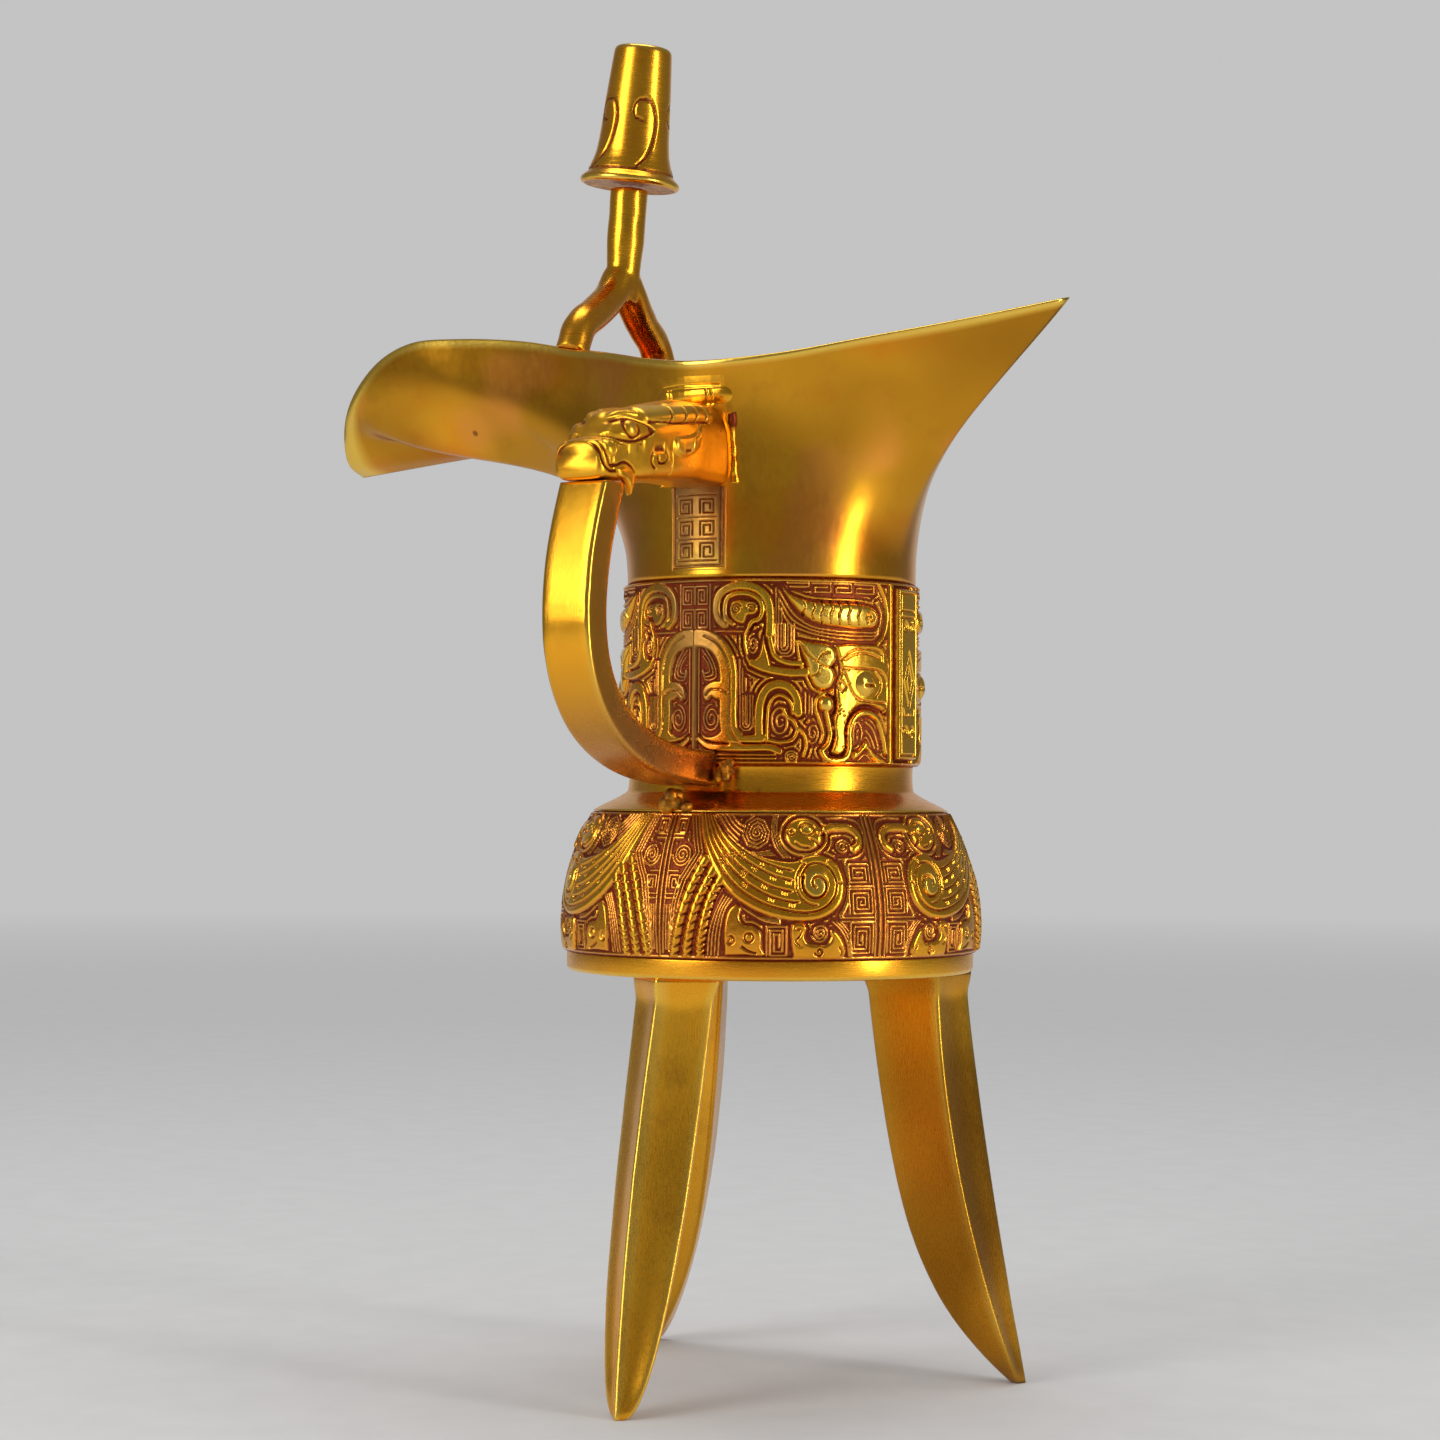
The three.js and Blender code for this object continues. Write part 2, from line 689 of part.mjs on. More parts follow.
function weldBead(centre, size) {
  const bead = new THREE.SphereGeometry(1, 16, 10);
  const spots = bead.attributes.position;
  const lumps = 0.1;
  for (let i = 0; i < spots.count; i++) {
    const p = new THREE.Vector3().fromBufferAttribute(spots, i);
    const swell = 1 + lumps * Math.sin(5 * p.x + 2 * p.z) * Math.cos(4 * p.y);
    spots.setXYZ(i, p.x * swell, p.y * swell, p.z * swell);
  }
  return solid(bead.scale(...size).translate(...centre));
}

// The bead below the strap's foot, and the one on its tail side.
function underBead() {
  const spot = [
    -UNDER_BEAD[0] * 0.18,
    -COLLAR_RADIUS - UNDER_BEAD[1] * 1.8,
    STRAP_FOOT - STRAP_THICKNESS / 2 - UNDER_BEAD[2] * 0.83,
  ];
  const bead = weldBead(spot, UNDER_BEAD);
  return geometryOf(bead.subtract(bodyCutter()).subtract(solid(skin(strapRings()))));
}

function sideBead() {
  const spot = [STRAP_WIDTH / 2 + SIDE_BEAD[0] * 1.25, -COLLAR_RADIUS - SIDE_BEAD[1], STRAP_FOOT];
  return geometryOf(weldBead(spot, SIDE_BEAD).subtract(bodyCutter()));
}

// A strip of the waist's own curve, proud of the sleeve.
function flangeGeometry(facing) {
  const half = FLANGE_WIDTH / 2 / WAIST_RADIUS;
  const facet = (2 * Math.PI) / AROUND;
  const low = SHOULDER_TOP + FLANGE_MARGIN;
  const high = WAIST_TOP - FLANGE_MARGIN;
  const outer = WAIST_RADIUS + FLANGE_THICKNESS;
  const rings = [-half, -facet, 0, facet, half].map((a) => {
    const at = (r, z) => new THREE.Vector3(r * Math.cos(a + facing), r * Math.sin(a + facing), z);
    return [at(WAIST_RADIUS, low), at(outer, low), at(outer, high), at(WAIST_RADIUS, high)];
  });
  return skin(rings);
}

const gold = () => finish(0xc99a2e, 0.3);
const darkGold = () => finish(0x9a6a24, 0.45);

const vessel = new THREE.Group();
vessel.add(piece("mouth_casting", mouthCasting(), gold()));
vessel.add(
  piece(
    "waist_frieze",
    revolve([
      [WAIST_RADIUS, SHOULDER_TOP],
      [WAIST_RADIUS, WAIST_TOP],
      [WAIST_RADIUS - WAIST_WALL, WAIST_TOP],
      [WAIST_RADIUS - WAIST_WALL, SHOULDER_TOP],
    ]),
    darkGold(),
  ),
);
vessel.add(piece("tail_flange", flangeGeometry(0), gold()));
vessel.add(piece("spout_flange", flangeGeometry(Math.PI), gold()));
vessel.add(piece("shoulder_ring", shoulderRing(), gold()));
vessel.add(piece("belly_frieze", bellyFrieze(), darkGold()));
vessel.add(piece("base_ring", baseRing(), gold()));
vessel.add(piece("bottom_bowl", bottomBowl(), gold()));

const LEGS = [
  { name: "leg_front", facing: -92.5, lean: -FRONT_LEG_LEAN, bow: -FRONT_LEG_BOW },
  { name: "leg_right", facing: 28, lean: 0, bow: 0 },
  { name: "leg_rear", facing: 150, lean: 0, bow: 0 },
];
for (const { name, facing, lean, bow } of LEGS) {
  const leg = piece(name, legGeometry(lean, bow), gold());
  leg.rotation.z = THREE.MathUtils.degToRad(facing);
  vessel.add(leg);
}

vessel.add(piece("handle_head", handleHead(), gold()));
vessel.add(piece("handle_strap", handleStrap(), gold()));
vessel.add(piece("handle_weld_under", underBead(), darkGold()));
vessel.add(piece("handle_weld_side", sideBead(), darkGold()));

vessel.add(piece("post_fork", postFork(), gold()));
const cap = piece("post_cap", capGeometry(), gold());
cap.position.set(shaftTop().x, 0, shaftTop().z + CONTACT_GAP);
cap.rotation.y = CAP_LEAN;
vessel.add(cap);

// The part's origin is on the floor, under the middle of the vessel's outline.
const part = new THREE.Group();
part.add(vessel);
const bounds = new THREE.Box3().setFromObject(vessel, true);
const middle = bounds.getCenter(new THREE.Vector3());
vessel.position.set(-middle.x, -middle.y, -bounds.min.z);
export default part;
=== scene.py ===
import math

import bmesh
import bpy
import numpy as np
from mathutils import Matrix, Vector
from mathutils.bvhtree import BVHTree


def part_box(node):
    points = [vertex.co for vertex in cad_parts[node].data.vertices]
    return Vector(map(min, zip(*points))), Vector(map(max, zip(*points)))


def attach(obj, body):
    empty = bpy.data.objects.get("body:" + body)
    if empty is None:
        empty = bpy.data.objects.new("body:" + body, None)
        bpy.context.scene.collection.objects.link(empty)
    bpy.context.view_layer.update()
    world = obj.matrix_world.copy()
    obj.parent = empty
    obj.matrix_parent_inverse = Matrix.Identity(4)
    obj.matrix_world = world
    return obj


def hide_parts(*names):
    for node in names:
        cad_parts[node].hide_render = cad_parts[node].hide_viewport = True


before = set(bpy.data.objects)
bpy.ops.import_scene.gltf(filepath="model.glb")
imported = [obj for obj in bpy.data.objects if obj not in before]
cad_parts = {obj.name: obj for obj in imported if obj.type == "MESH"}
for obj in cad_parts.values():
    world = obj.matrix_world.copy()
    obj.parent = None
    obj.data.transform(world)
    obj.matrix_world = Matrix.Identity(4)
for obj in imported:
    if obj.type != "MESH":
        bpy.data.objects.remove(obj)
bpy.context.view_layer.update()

# Lengths are in millimetres from the vessel's own axis and are turned into metres at the end.
MM = 0.001
LOW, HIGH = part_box("base_ring")
AXIS_X = (LOW.x + HIGH.x) / 2 / MM
AXIS_Y = (LOW.y + HIGH.y) / 2 / MM

# Heights and radii of the castings, as in the part.
LEG_HEIGHT = 76.6
BASE_TOP = 80.3
BELLY_TOP = 106.4
BELLY_HEIGHT = BELLY_TOP - BASE_TOP
SHOULDER_TOP = 114.8
WAIST_TOP = 148.4
BASE_RADIUS = 38.2
BELLY_TOP_RADIUS = 33.4
COLLAR_RADIUS = 26.8
WAIST_RADIUS = 28.0
NECK_RADIUS = 27.1
WALL = 2.0
SADDLE_RISE = 39.4
HEAD_BASE = WAIST_TOP + 16.5
STRAP_FOOT = SHOULDER_TOP - 1.4
STRAP_WIDTH = 9.7
STRAP_THICK = 6.4
HANDLE_REACH = 70.2
SNOUT_DROP = 2.0
# The strap ends where the sunk snout lies on it.
STRAP_TOP = HEAD_BASE - SNOUT_DROP - 0.05
WAIST_QUARTER = WAIST_RADIUS * np.pi / 2
# Arc of the belly between the axis of two tails and the axis of two beaks.
BIRD_SPAN = 39.8

# The photograph's camera, and the two level directions as it sees them.
FRAME_PX = 1440
FOCAL_PX = 3113
VIEW_AZIMUTH = math.radians(30)
BACK = Vector((math.sin(VIEW_AZIMUTH), -math.cos(VIEW_AZIMUTH), 0))
RIGHT = Vector((math.cos(VIEW_AZIMUTH), math.sin(VIEW_AZIMUTH), 0))
BACKDROP = 0.55


# Small numeric tools


def smooth(low, high, x):
    """0 at low, 1 at high and beyond, with a soft step between; low may be the larger of the two."""
    t = np.clip((x - low) / (high - low), 0, 1)
    return t * t * (3 - 2 * t)


def bezier(points, t):
    """A cubic curve at the shares t, for points of any size."""
    p0, p1, p2, p3 = [np.asarray(p, float) for p in points]
    t = np.asarray(t, float)[:, None]
    return (1 - t) ** 3 * p0 + 3 * t * (1 - t) ** 2 * p1 + 3 * t * t * (1 - t) * p2 + t ** 3 * p3


def catmull(points, count):
    """A centripetal Catmull-Rom curve with evenly spread parameters."""
    p = np.asarray(points, float)
    ext = np.vstack([2 * p[0] - p[1], p, 2 * p[-1] - p[-2]])
    out = []
    for share in np.linspace(0, len(p) - 1, count):
        i = min(int(share), len(p) - 2)
        w = share - i
        a, b, c, d = ext[i], ext[i + 1], ext[i + 2], ext[i + 3]
        s0, s1, s2 = [max(float(((v - u) ** 2).sum()) ** 0.25, 1e-6) for u, v in ((a, b), (b, c), (c, d))]
        m1 = ((b - a) / s0 - (c - a) / (s0 + s1) + (c - b) / s1) * s1
        m2 = ((c - b) / s1 - (d - b) / (s1 + s2) + (d - c) / s2) * s1
        out.append(b + m1 * w + (-3 * b + 3 * c - 2 * m1 - m2) * w * w + (2 * b - 2 * c + m1 + m2) * w ** 3)
    return np.array(out)


def value_noise(p, scale, seed):
    """Smooth noise from -1 to 1 at the points p (n, 3), with cells of the given size."""
    q = np.asarray(p, float) / scale
    base = np.floor(q).astype(np.int64)
    f = q - base
    f = f * f * (3 - 2 * f)
    total = np.zeros(len(q))
    for dx in (0, 1):
        for dy in (0, 1):
            for dz in (0, 1):
                c = base + (dx, dy, dz)
                h = c[:, 0] * 374761393 + c[:, 1] * 668265263 + c[:, 2] * 2147483647
                h = (h + seed * 974711) & 0xFFFFFFFF
                h = ((h ^ (h >> 13)) * 1274126177) & 0xFFFFFFFF
                v = ((h ^ (h >> 16)) & 0xFFFF) / 32767.5 - 1
                w = (f[:, 0] if dx else 1 - f[:, 0]) * (f[:, 1] if dy else 1 - f[:, 1])
                total += v * w * (f[:, 2] if dz else 1 - f[:, 2])
    return total


# Meshes


def to_frame(points):
    """Metres in the shared frame, from millimetres round the vessel's axis."""
    return (np.asarray(points, float) + (AXIS_X, AXIS_Y, 0)) * MM


def set_mark(mesh, key, values):
    """A number at every point of the mesh, which its material reads by name."""
    layer = mesh.attributes.new(key, "FLOAT", "POINT")
    layer.data.foreach_set("value", np.asarray(values, np.float32))


def add_piece(name, points, faces, material, replaces=(), marks=None):
    """A mesh piece from points in vessel millimetres; it rides on the body and takes its finish."""
    mesh = bpy.data.meshes.new(name)
    mesh.from_pydata(to_frame(points).tolist(), [], [list(map(int, f)) for f in faces])
    mesh.validate()
    mesh.update()
    for key, values in (marks or {}).items():
        set_mark(mesh, key, values)
    mesh.polygons.foreach_set("use_smooth", [True] * len(mesh.polygons))
    obj = bpy.data.objects.new(name, mesh)
    bpy.context.scene.collection.objects.link(obj)
    face_out(obj)
    obj.data.materials.append(material)
    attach(obj, "root")
    if replaces:
        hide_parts(*replaces)
    return obj


def face_out(obj):
    """Turns every face round where the skin is inside out."""
    bm = bmesh.new()
    bm.from_mesh(obj.data)
    if bm.calc_volume(signed=True) < 0:
        bmesh.ops.reverse_faces(bm, faces=bm.faces)
    bm.to_mesh(obj.data)
    bm.free()


def grid_faces(rows, columns, wrap_rows=False, wrap_columns=False):
    """Quads of a grid whose points run along the columns first."""
    i = np.arange(rows if wrap_rows else rows - 1)
    j = np.arange(columns if wrap_columns else columns - 1)
    i, j = [a.ravel() for a in np.meshgrid(i, j, indexing="ij")]
    i2, j2 = (i + 1) % rows, (j + 1) % columns
    quads = np.stack([i * columns + j, i * columns + j2, i2 * columns + j2, i2 * columns + j], 1)
    return quads.tolist()


def lathe(profile, around):
    """Points and quads of a closed profile of [radius, height] turned round the axis."""
    a = np.linspace(0, 2 * np.pi, around, endpoint=False)
    p = np.asarray(profile, float)
    points = np.stack([
        np.outer(np.cos(a), p[:, 0]),
        np.outer(np.sin(a), p[:, 0]),
        np.broadcast_to(p[:, 1], (around, len(p))),
    ], 2).reshape(-1, 3)
    return points, grid_faces(around, len(p), wrap_rows=True, wrap_columns=True)


def rounded(corners, radius, steps=4):
    """A closed outline whose corners are rounded; radius may be one length or one per corner."""
    p = np.asarray(corners, float)
    n = len(p)
    radii = np.broadcast_to(radius, n)
    out = []
    for i in range(n):
        before, after = p[i - 1] - p[i], p[(i + 1) % n] - p[i]
        la, lb = np.linalg.norm(before), np.linalg.norm(after)
        r = min(radii[i], la * 0.45, lb * 0.45)
        a, b = p[i] + before / la * r, p[i] + after / lb * r
        for t in np.linspace(0, 1, steps):
            out.append((1 - t) ** 2 * a + 2 * t * (1 - t) * p[i] + t * t * b)
    return np.array(out)


def resample(outline, pitch):
    """Adds points along a closed outline so that no step is longer than the pitch."""
    out = []
    n = len(outline)
    for i in range(n):
        a, b = outline[i], outline[(i + 1) % n]
        count = max(1, int(np.ceil(np.linalg.norm(b - a) / pitch)))
        out += [a + (b - a) * k / count for k in range(count)]
    return np.array(out)


def capped_rings(rings):
    """Points and faces of a skin through equal rings, closed by one face at each end."""
    count = len(rings[0])
    points = np.concatenate(rings)
    faces = grid_faces(len(rings), count, wrap_columns=True)
    last = (len(rings) - 1) * count
    faces.append(list(range(count))[::-1])
    faces.append(list(range(last, last + count)))
    return points, faces


def with_modifiers(obj, *settings):
    """Applies modifiers, each given as (type, values), and keeps the result as the mesh."""
    for kind, values in settings:
        modifier = obj.modifiers.new(kind, kind)
        for key, value in values.items():
            setattr(modifier, key, value)
    graph = bpy.context.evaluated_depsgraph_get()
    mesh = bpy.data.meshes.new_from_object(obj.evaluated_get(graph))
    obj.modifiers.clear()
    old = obj.data
    materials = list(old.materials)
    obj.data = mesh
    mesh.materials.clear()
    for material in materials:
        mesh.materials.append(material)
    mesh.polygons.foreach_set("use_smooth", [True] * len(mesh.polygons))
    bpy.data.meshes.remove(old)


def mesh_points(obj):
    """The mesh's points in vessel millimetres."""
    co = np.zeros(len(obj.data.vertices) * 3, np.float32)
    obj.data.vertices.foreach_get("co", co)
    return co.reshape(-1, 3).astype(float) / MM - (AXIS_X, AXIS_Y, 0)


def set_points(obj, points):
    """Moves the mesh's points to places given in vessel millimetres."""
    obj.data.vertices.foreach_set("co", to_frame(points).astype(np.float32).ravel())
    obj.data.update()


def mesh_normals(obj):
    """The normal at every point of the mesh."""
    out = np.zeros(len(obj.data.vertices) * 3, np.float32)
    obj.data.vertex_normals.foreach_get("vector", out)
    return out.reshape(-1, 3).astype(float)


# Materials


class Graph:
    """Short ways to build a material's nodes."""

    def __init__(self, name):
        self.material = bpy.data.materials.new(name)
        self.material.use_nodes = True
        self.tree = self.material.node_tree
        self.shader = self.tree.nodes["Principled BSDF"]

    def node(self, kind, inputs=None, **settings):
        n = self.tree.nodes.new(kind)
        for key, value in settings.items():
            setattr(n, key, value)
        for key, value in (inputs or {}).items():
            self.put(n.inputs[key], value)
        return n

    def put(self, socket, value):
        if isinstance(value, bpy.types.NodeSocket):
            self.tree.links.new(value, socket)
        else:
            socket.default_value = value

    def math(self, operation, a, b):
        return self.node("ShaderNodeMath", {0: a, 1: b}, operation=operation).outputs[0]

    def add(self, a, b):
        return self.math("ADD", a, b)

    def times(self, a, b):
        return self.math("MULTIPLY", a, b)

    def mark(self, name):
        return self.node("ShaderNodeAttribute", attribute_name=name).outputs["Fac"]

    def mix(self, factor, a, b):
        n = self.node("ShaderNodeMix", data_type="RGBA", clamp_factor=True)
        self.put(n.inputs["Factor"], factor)
        for socket, value in ((n.inputs[6], a), (n.inputs[7], b)):
            self.put(socket, value)
        return n.outputs[2]

    def ramp(self, value, low, high, out_low=0.0, out_high=1.0):
        n = self.node("ShaderNodeMapRange", {0: value, 1: low, 2: high, 3: out_low, 4: out_high})
        n.clamp = True
        return n.outputs[0]

    def noise(self, where, scale, detail=3.0, roughness=0.55):
        n = self.node("ShaderNodeTexNoise", {"Vector": where, "Scale": scale, "Detail": detail})
        n.inputs["Roughness"].default_value = roughness
        return n.outputs[0]

    def place(self, scale=(1, 1, 1), turn=(0, 0, 0)):
        coords = self.node("ShaderNodeTexCoord").outputs["Object"]
        n = self.node("ShaderNodeMapping", {"Vector": coords, "Scale": scale, "Rotation": turn})
        return n.outputs[0]


GOLD = (0.94, 0.44, 0.026, 1)
GREEN_GOLD = (0.84, 0.50, 0.034, 1)
RED_GOLD = (0.90, 0.25, 0.014, 1)
PALE_GOLD = (0.98, 0.68, 0.12, 1)
RECESS_AND_SHADE = (0.22, 0.035, 0.008, 1)
BROWN = (0.26, 0.13, 0.055, 1)
EMBER = (0.88, 0.33, 0.055, 1)
PATINA_AND_SHADE = (0.36, 0.15, 0.010, 1)
SOOT = (0.09, 0.030, 0.012, 1)
STAIN = (0.42, 0.17, 0.02, 1)
PIT = (0.16, 0.05, 0.012, 1)
FLOOR_DARK = (0.60, 0.60, 0.60, 1)
FLOOR_PALE = (0.63, 0.63, 0.63, 1)


def gold(name, rough=(0.2, 0.34), red=0.5, brush=(60, 60, 900), turn=(0, 0, 0), pores=0.35, grime=0.35,
         dirt_and_shade_colour=RECESS_AND_SHADE, relief=False, bump=0.06):
    """Gilt bronze: tinted patches, fine polishing scratches, casting pores and dark recesses.

    The marks of the mesh are wear (pale edges), dark (dirt in recesses, and painted shade under the cap),
    aged (brown, and a painted shadow at the top of the panel), ember (orange) and shade (patina, and painted
    shade on the tail and spout ends of the mouth and on the right and rear legs), each from 0 to 1.
    Scratches run along the axis where brush is lowest."""
    g = Graph(name)
    flat = g.place()
    patches = g.noise(flat, 38.0, 2.0)
    warm = g.noise(g.place((1, 1, 1.6), (0.4, 0.2, 1.0)), 24.0, 3.0)
    colour = g.mix(g.ramp(patches, 0.54, 0.78), GOLD, GREEN_GOLD)
    colour = g.mix(g.times(g.ramp(warm, 0.48, 0.68), red), colour, RED_GOLD)
    scratches = g.noise(g.place(brush, turn), 6.0, 4.0, 0.7)
    fine = g.noise(flat, 1400.0, 3.0, 0.6)
    stain = g.ramp(g.noise(flat, 130.0, 5.0, 0.65), 0.55, 0.75)
    wear = g.mark("wear")
    dark = g.mark("dark")
    aged = g.mark("aged")
    ember = g.mark("ember")
    shade = g.mark("shade")
    colour = g.mix(g.times(stain, grime), colour, STAIN)
    colour = g.mix(g.times(wear, 0.75), colour, PALE_GOLD)
    # Patina, and painted shade on the mouth's tail and spout ends and on the right and rear legs.
    colour = g.mix(shade, colour, PATINA_AND_SHADE)
    colour = g.mix(g.times(ember, 0.8), colour, EMBER)
    # Brown; on the panel this also gives a painted shadow under the head.
    colour = g.mix(g.times(aged, 0.85), colour, BROWN)
    mottle = g.ramp(g.noise(flat, 900.0, 4.0, 0.7), 0.35, 0.65, -0.18, 0.18)
    deep = g.ramp(g.add(dark, g.times(mottle, g.times(dark, 1.6))), 0.22, 0.72)
    # Dark dirt in recesses, and painted shade under the cap.
    colour = g.mix(deep, colour, dirt_and_shade_colour)
    spots = g.node("ShaderNodeTexVoronoi", {"Vector": flat, "Scale": 210.0}, feature="F1")
    pit = g.ramp(spots.outputs["Distance"], 0.10, 0.16, 1.0, 0.0)
    pit = g.times(pit, g.ramp(g.noise(flat, 60.0, 2.0), 0.60, 0.66))
    pit = g.times(pit, pores)
    colour = g.mix(pit, colour, PIT)
    g.put(g.shader.inputs["Base Color"], colour)
    gloss = g.ramp(g.add(g.times(scratches, 0.6), g.times(patches, 0.4)),
                   0.35, 0.65, rough[0], rough[1])
    gloss = g.add(gloss, g.times(deep, 0.22))
    gloss = g.add(gloss, g.times(aged, 0.12))
    g.put(g.shader.inputs["Roughness"], gloss)
    metal = g.math("SUBTRACT", 1.0, g.times(deep, 0.12))
    g.put(g.shader.inputs["Metallic"], metal)
    height = g.add(g.times(scratches, 0.5), g.times(fine, 0.5))
    height = g.math("SUBTRACT", height, g.times(pit, 2.5))
    out = g.node("ShaderNodeBump", {"Height": height, "Distance": 0.00035})
    out.inputs["Strength"].default_value = bump * (1.4 if relief else 1)
    g.put(g.shader.inputs["Normal"], out.outputs[0])
    return g.material


POLISHED = gold("polished_gilt", brush=(50, 50, 1100))
NECK = gold("neck_gilt", rough=(0.19, 0.27), red=1.0, brush=(200, 200, 90), turn=(0.5, 0.3, 0.0),
            bump=0.018, pores=0.8)
LEG = gold("leg_gilt", rough=(0.2, 0.36), red=0.45, brush=(900, 900, 60), grime=0.5)
STRAP = gold("strap_gilt", rough=(0.16, 0.28), red=0.35, brush=(900, 60, 60), pores=0.1, grime=0.2)
RELIEF = gold("relief_gilt", rough=(0.17, 0.3), red=0.5, brush=(300, 300, 300), pores=0.2, relief=True)
HEAD = gold("head_gilt", rough=(0.27, 0.38), red=0.9, brush=(160, 160, 160), pores=0.04, grime=0.2,
            bump=0.02)
BRAZE = gold("braze", rough=(0.34, 0.5), red=1.0, grime=1.0, dirt_and_shade_colour=SOOT, pores=0.8, relief=True)


# Mouth: neck, spout and tail in one shell


def between(low, high, share):
    """The value at a share of the way from low to high."""
    return low + (high - low) * share


def lip_stations():
    """Point, neck angle, way of arrival, rise and run of the wall at each station of the lip."""
    tail_reach, tail_rise, spout_reach = 61.5, 50.4, 96.8
    floor_rise, lip_rise, half_spout, half_mouth = 25.2, 49.2, 17.0, 30.1
    tail = [
        (1, 0, 1, 0, (0.67, 0, 0.74), 0.522, 0.522),
        (0.732, 0.375, 0.606, 19, (0.5, 0.3, 0.8), 0.448, 0.498),
        (0.504, 0.654, 0.327, 39, (0.32, 0.36, 0.87), 0.398, 0.398),
        (0.26, 0.88, 0.077, 62, (0.12, 0.3, 0.95), 0.348, 0.348),
        (0, 1, 0, 86, (0, 0.2, 0.98), 0.348, 0.348),
    ]
    throat = [
        (0.124, 0.84, 0.158, 101, (0, 0.18, 0.98), 0.373, 0.348),
        (0.227, 0.565, 0.368, 112, (0, 0.14, 0.99), 0.423, 0.348),
        (0.341, 0.221, 0.579, 123, (0, 0.1, 0.99), 0.547, 0.373),
        (0.475, 0.076, 0.842, 134, (0, 0.06, 1), 0.672, 0.398),
        (0.63, 0.015, 1, 145, (0, 0.04, 1), 0.771, 0.423),
    ]
    spout = [
        (0.749, 1, 1, 152, (-0.1, 0.03, 1), 0.821, 0.423),
        (0.842, 0.941, 0.868, 157, (-0.3, 0.05, 0.95), 0.846, 0.473),
        (0.928, 0.794, 0.585, 163, (-0.55, 0.15, 0.78), 0.846, 0.597),
        (0.982, 0.529, 0.31, 169, (-0.9, 0.2, 0.14), 0.846, 0.871),
        (1.005, 0.224, 0.078, 175, (-1, 0.08, -0.04), 0.846, 1.294),
        (1, 0, 0, 180, (-1, 0, -0.1), 0.846, 1.493),
    ]
    rows = []
    for x, y, up, *rest in tail:
        rows.append((tail_reach * x, half_mouth * y, between(SADDLE_RISE, tail_rise, up), *rest))
    for x, y, up, *rest in throat:
        rows.append((-spout_reach * x, between(half_spout, half_mouth, y),
                     between(SADDLE_RISE, lip_rise, up), *rest))
    for x, y, up, *rest in spout:
        rows.append((-spout_reach * x, half_spout * y, between(floor_rise, lip_rise, up), *rest))
    return rows


def wall_columns(steps, levels):
    """The outer wall of one half, as columns of points from the neck up to the lip."""
    rows = lip_stations()
    count = (len(rows) - 1) * steps + 1
    lip = catmull([(r[0], r[1], r[2] + WAIST_TOP) for r in rows], count)
    way = catmull([r[4] for r in rows], count)
    rate = catmull([(r[3], r[5] * SADDLE_RISE, r[6] * SADDLE_RISE) for r in rows], count)
    way /= np.linalg.norm(way, axis=1)[:, None]
    side = np.ones(count)
    side[[0, -1]] = 0
    lip[:, 1] *= side
    columns = []
    for i in range(count):
        a = math.radians(rate[i, 0])
        start = np.array([math.cos(a) * NECK_RADIUS, math.sin(a) * side[i] * NECK_RADIUS, WAIST_TOP])
        path = (start, start + (0, 0, rate[i, 1]), lip[i] - way[i] * rate[i, 2], lip[i])
        columns.append(bezier(path, np.linspace(0, 1, levels + 1)))
    return np.array(columns)


def inset_columns(columns, wall):
    """The inner face: the outer one moved in by the wall, less where the two sides meet."""
    n, m = columns.shape[:2]
    inner = columns.copy()
    for i in range(n):
        for k in range(m):
            p = columns[i, k]
            along = columns[min(i + 1, n - 1), k] - columns[max(i - 1, 0), k]
            if i in (0, n - 1):
                along = np.array([0.0, 1.0 if i == 0 else -1.0, 0.0])
            up = columns[i, min(k + 1, m - 1)] - columns[i, max(k - 1, 0)]
            inward = np.cross(up, along)
            inward /= max(np.linalg.norm(inward), 1e-9)
            share = k / (m - 1)
            mitre = 1 + 0.6 * share if i == 0 else 1
            room = 1e3 if i in (0, n - 1) else 0.7 * p[1]
            depth = min(wall * mitre, room / max(abs(inward[1]), 1e-3))
            inner[i, k] = p + inward * depth
            if k == m - 1:
                arrive = p - columns[i, k - 1]
                arrive /= np.linalg.norm(arrive)
                level = inward[2] * arrive[2] / (arrive[2] ** 2 + 0.05)
                inner[i, k] -= arrive * depth * max(level, 0)
    return inner


def full_rings(columns):
    """Rings right round the mouth, from the columns of one half and their mirror image."""
    back = columns[1:-1][::-1] * (1, -1, 1)
    return np.concatenate([columns, back]).transpose(1, 0, 2)


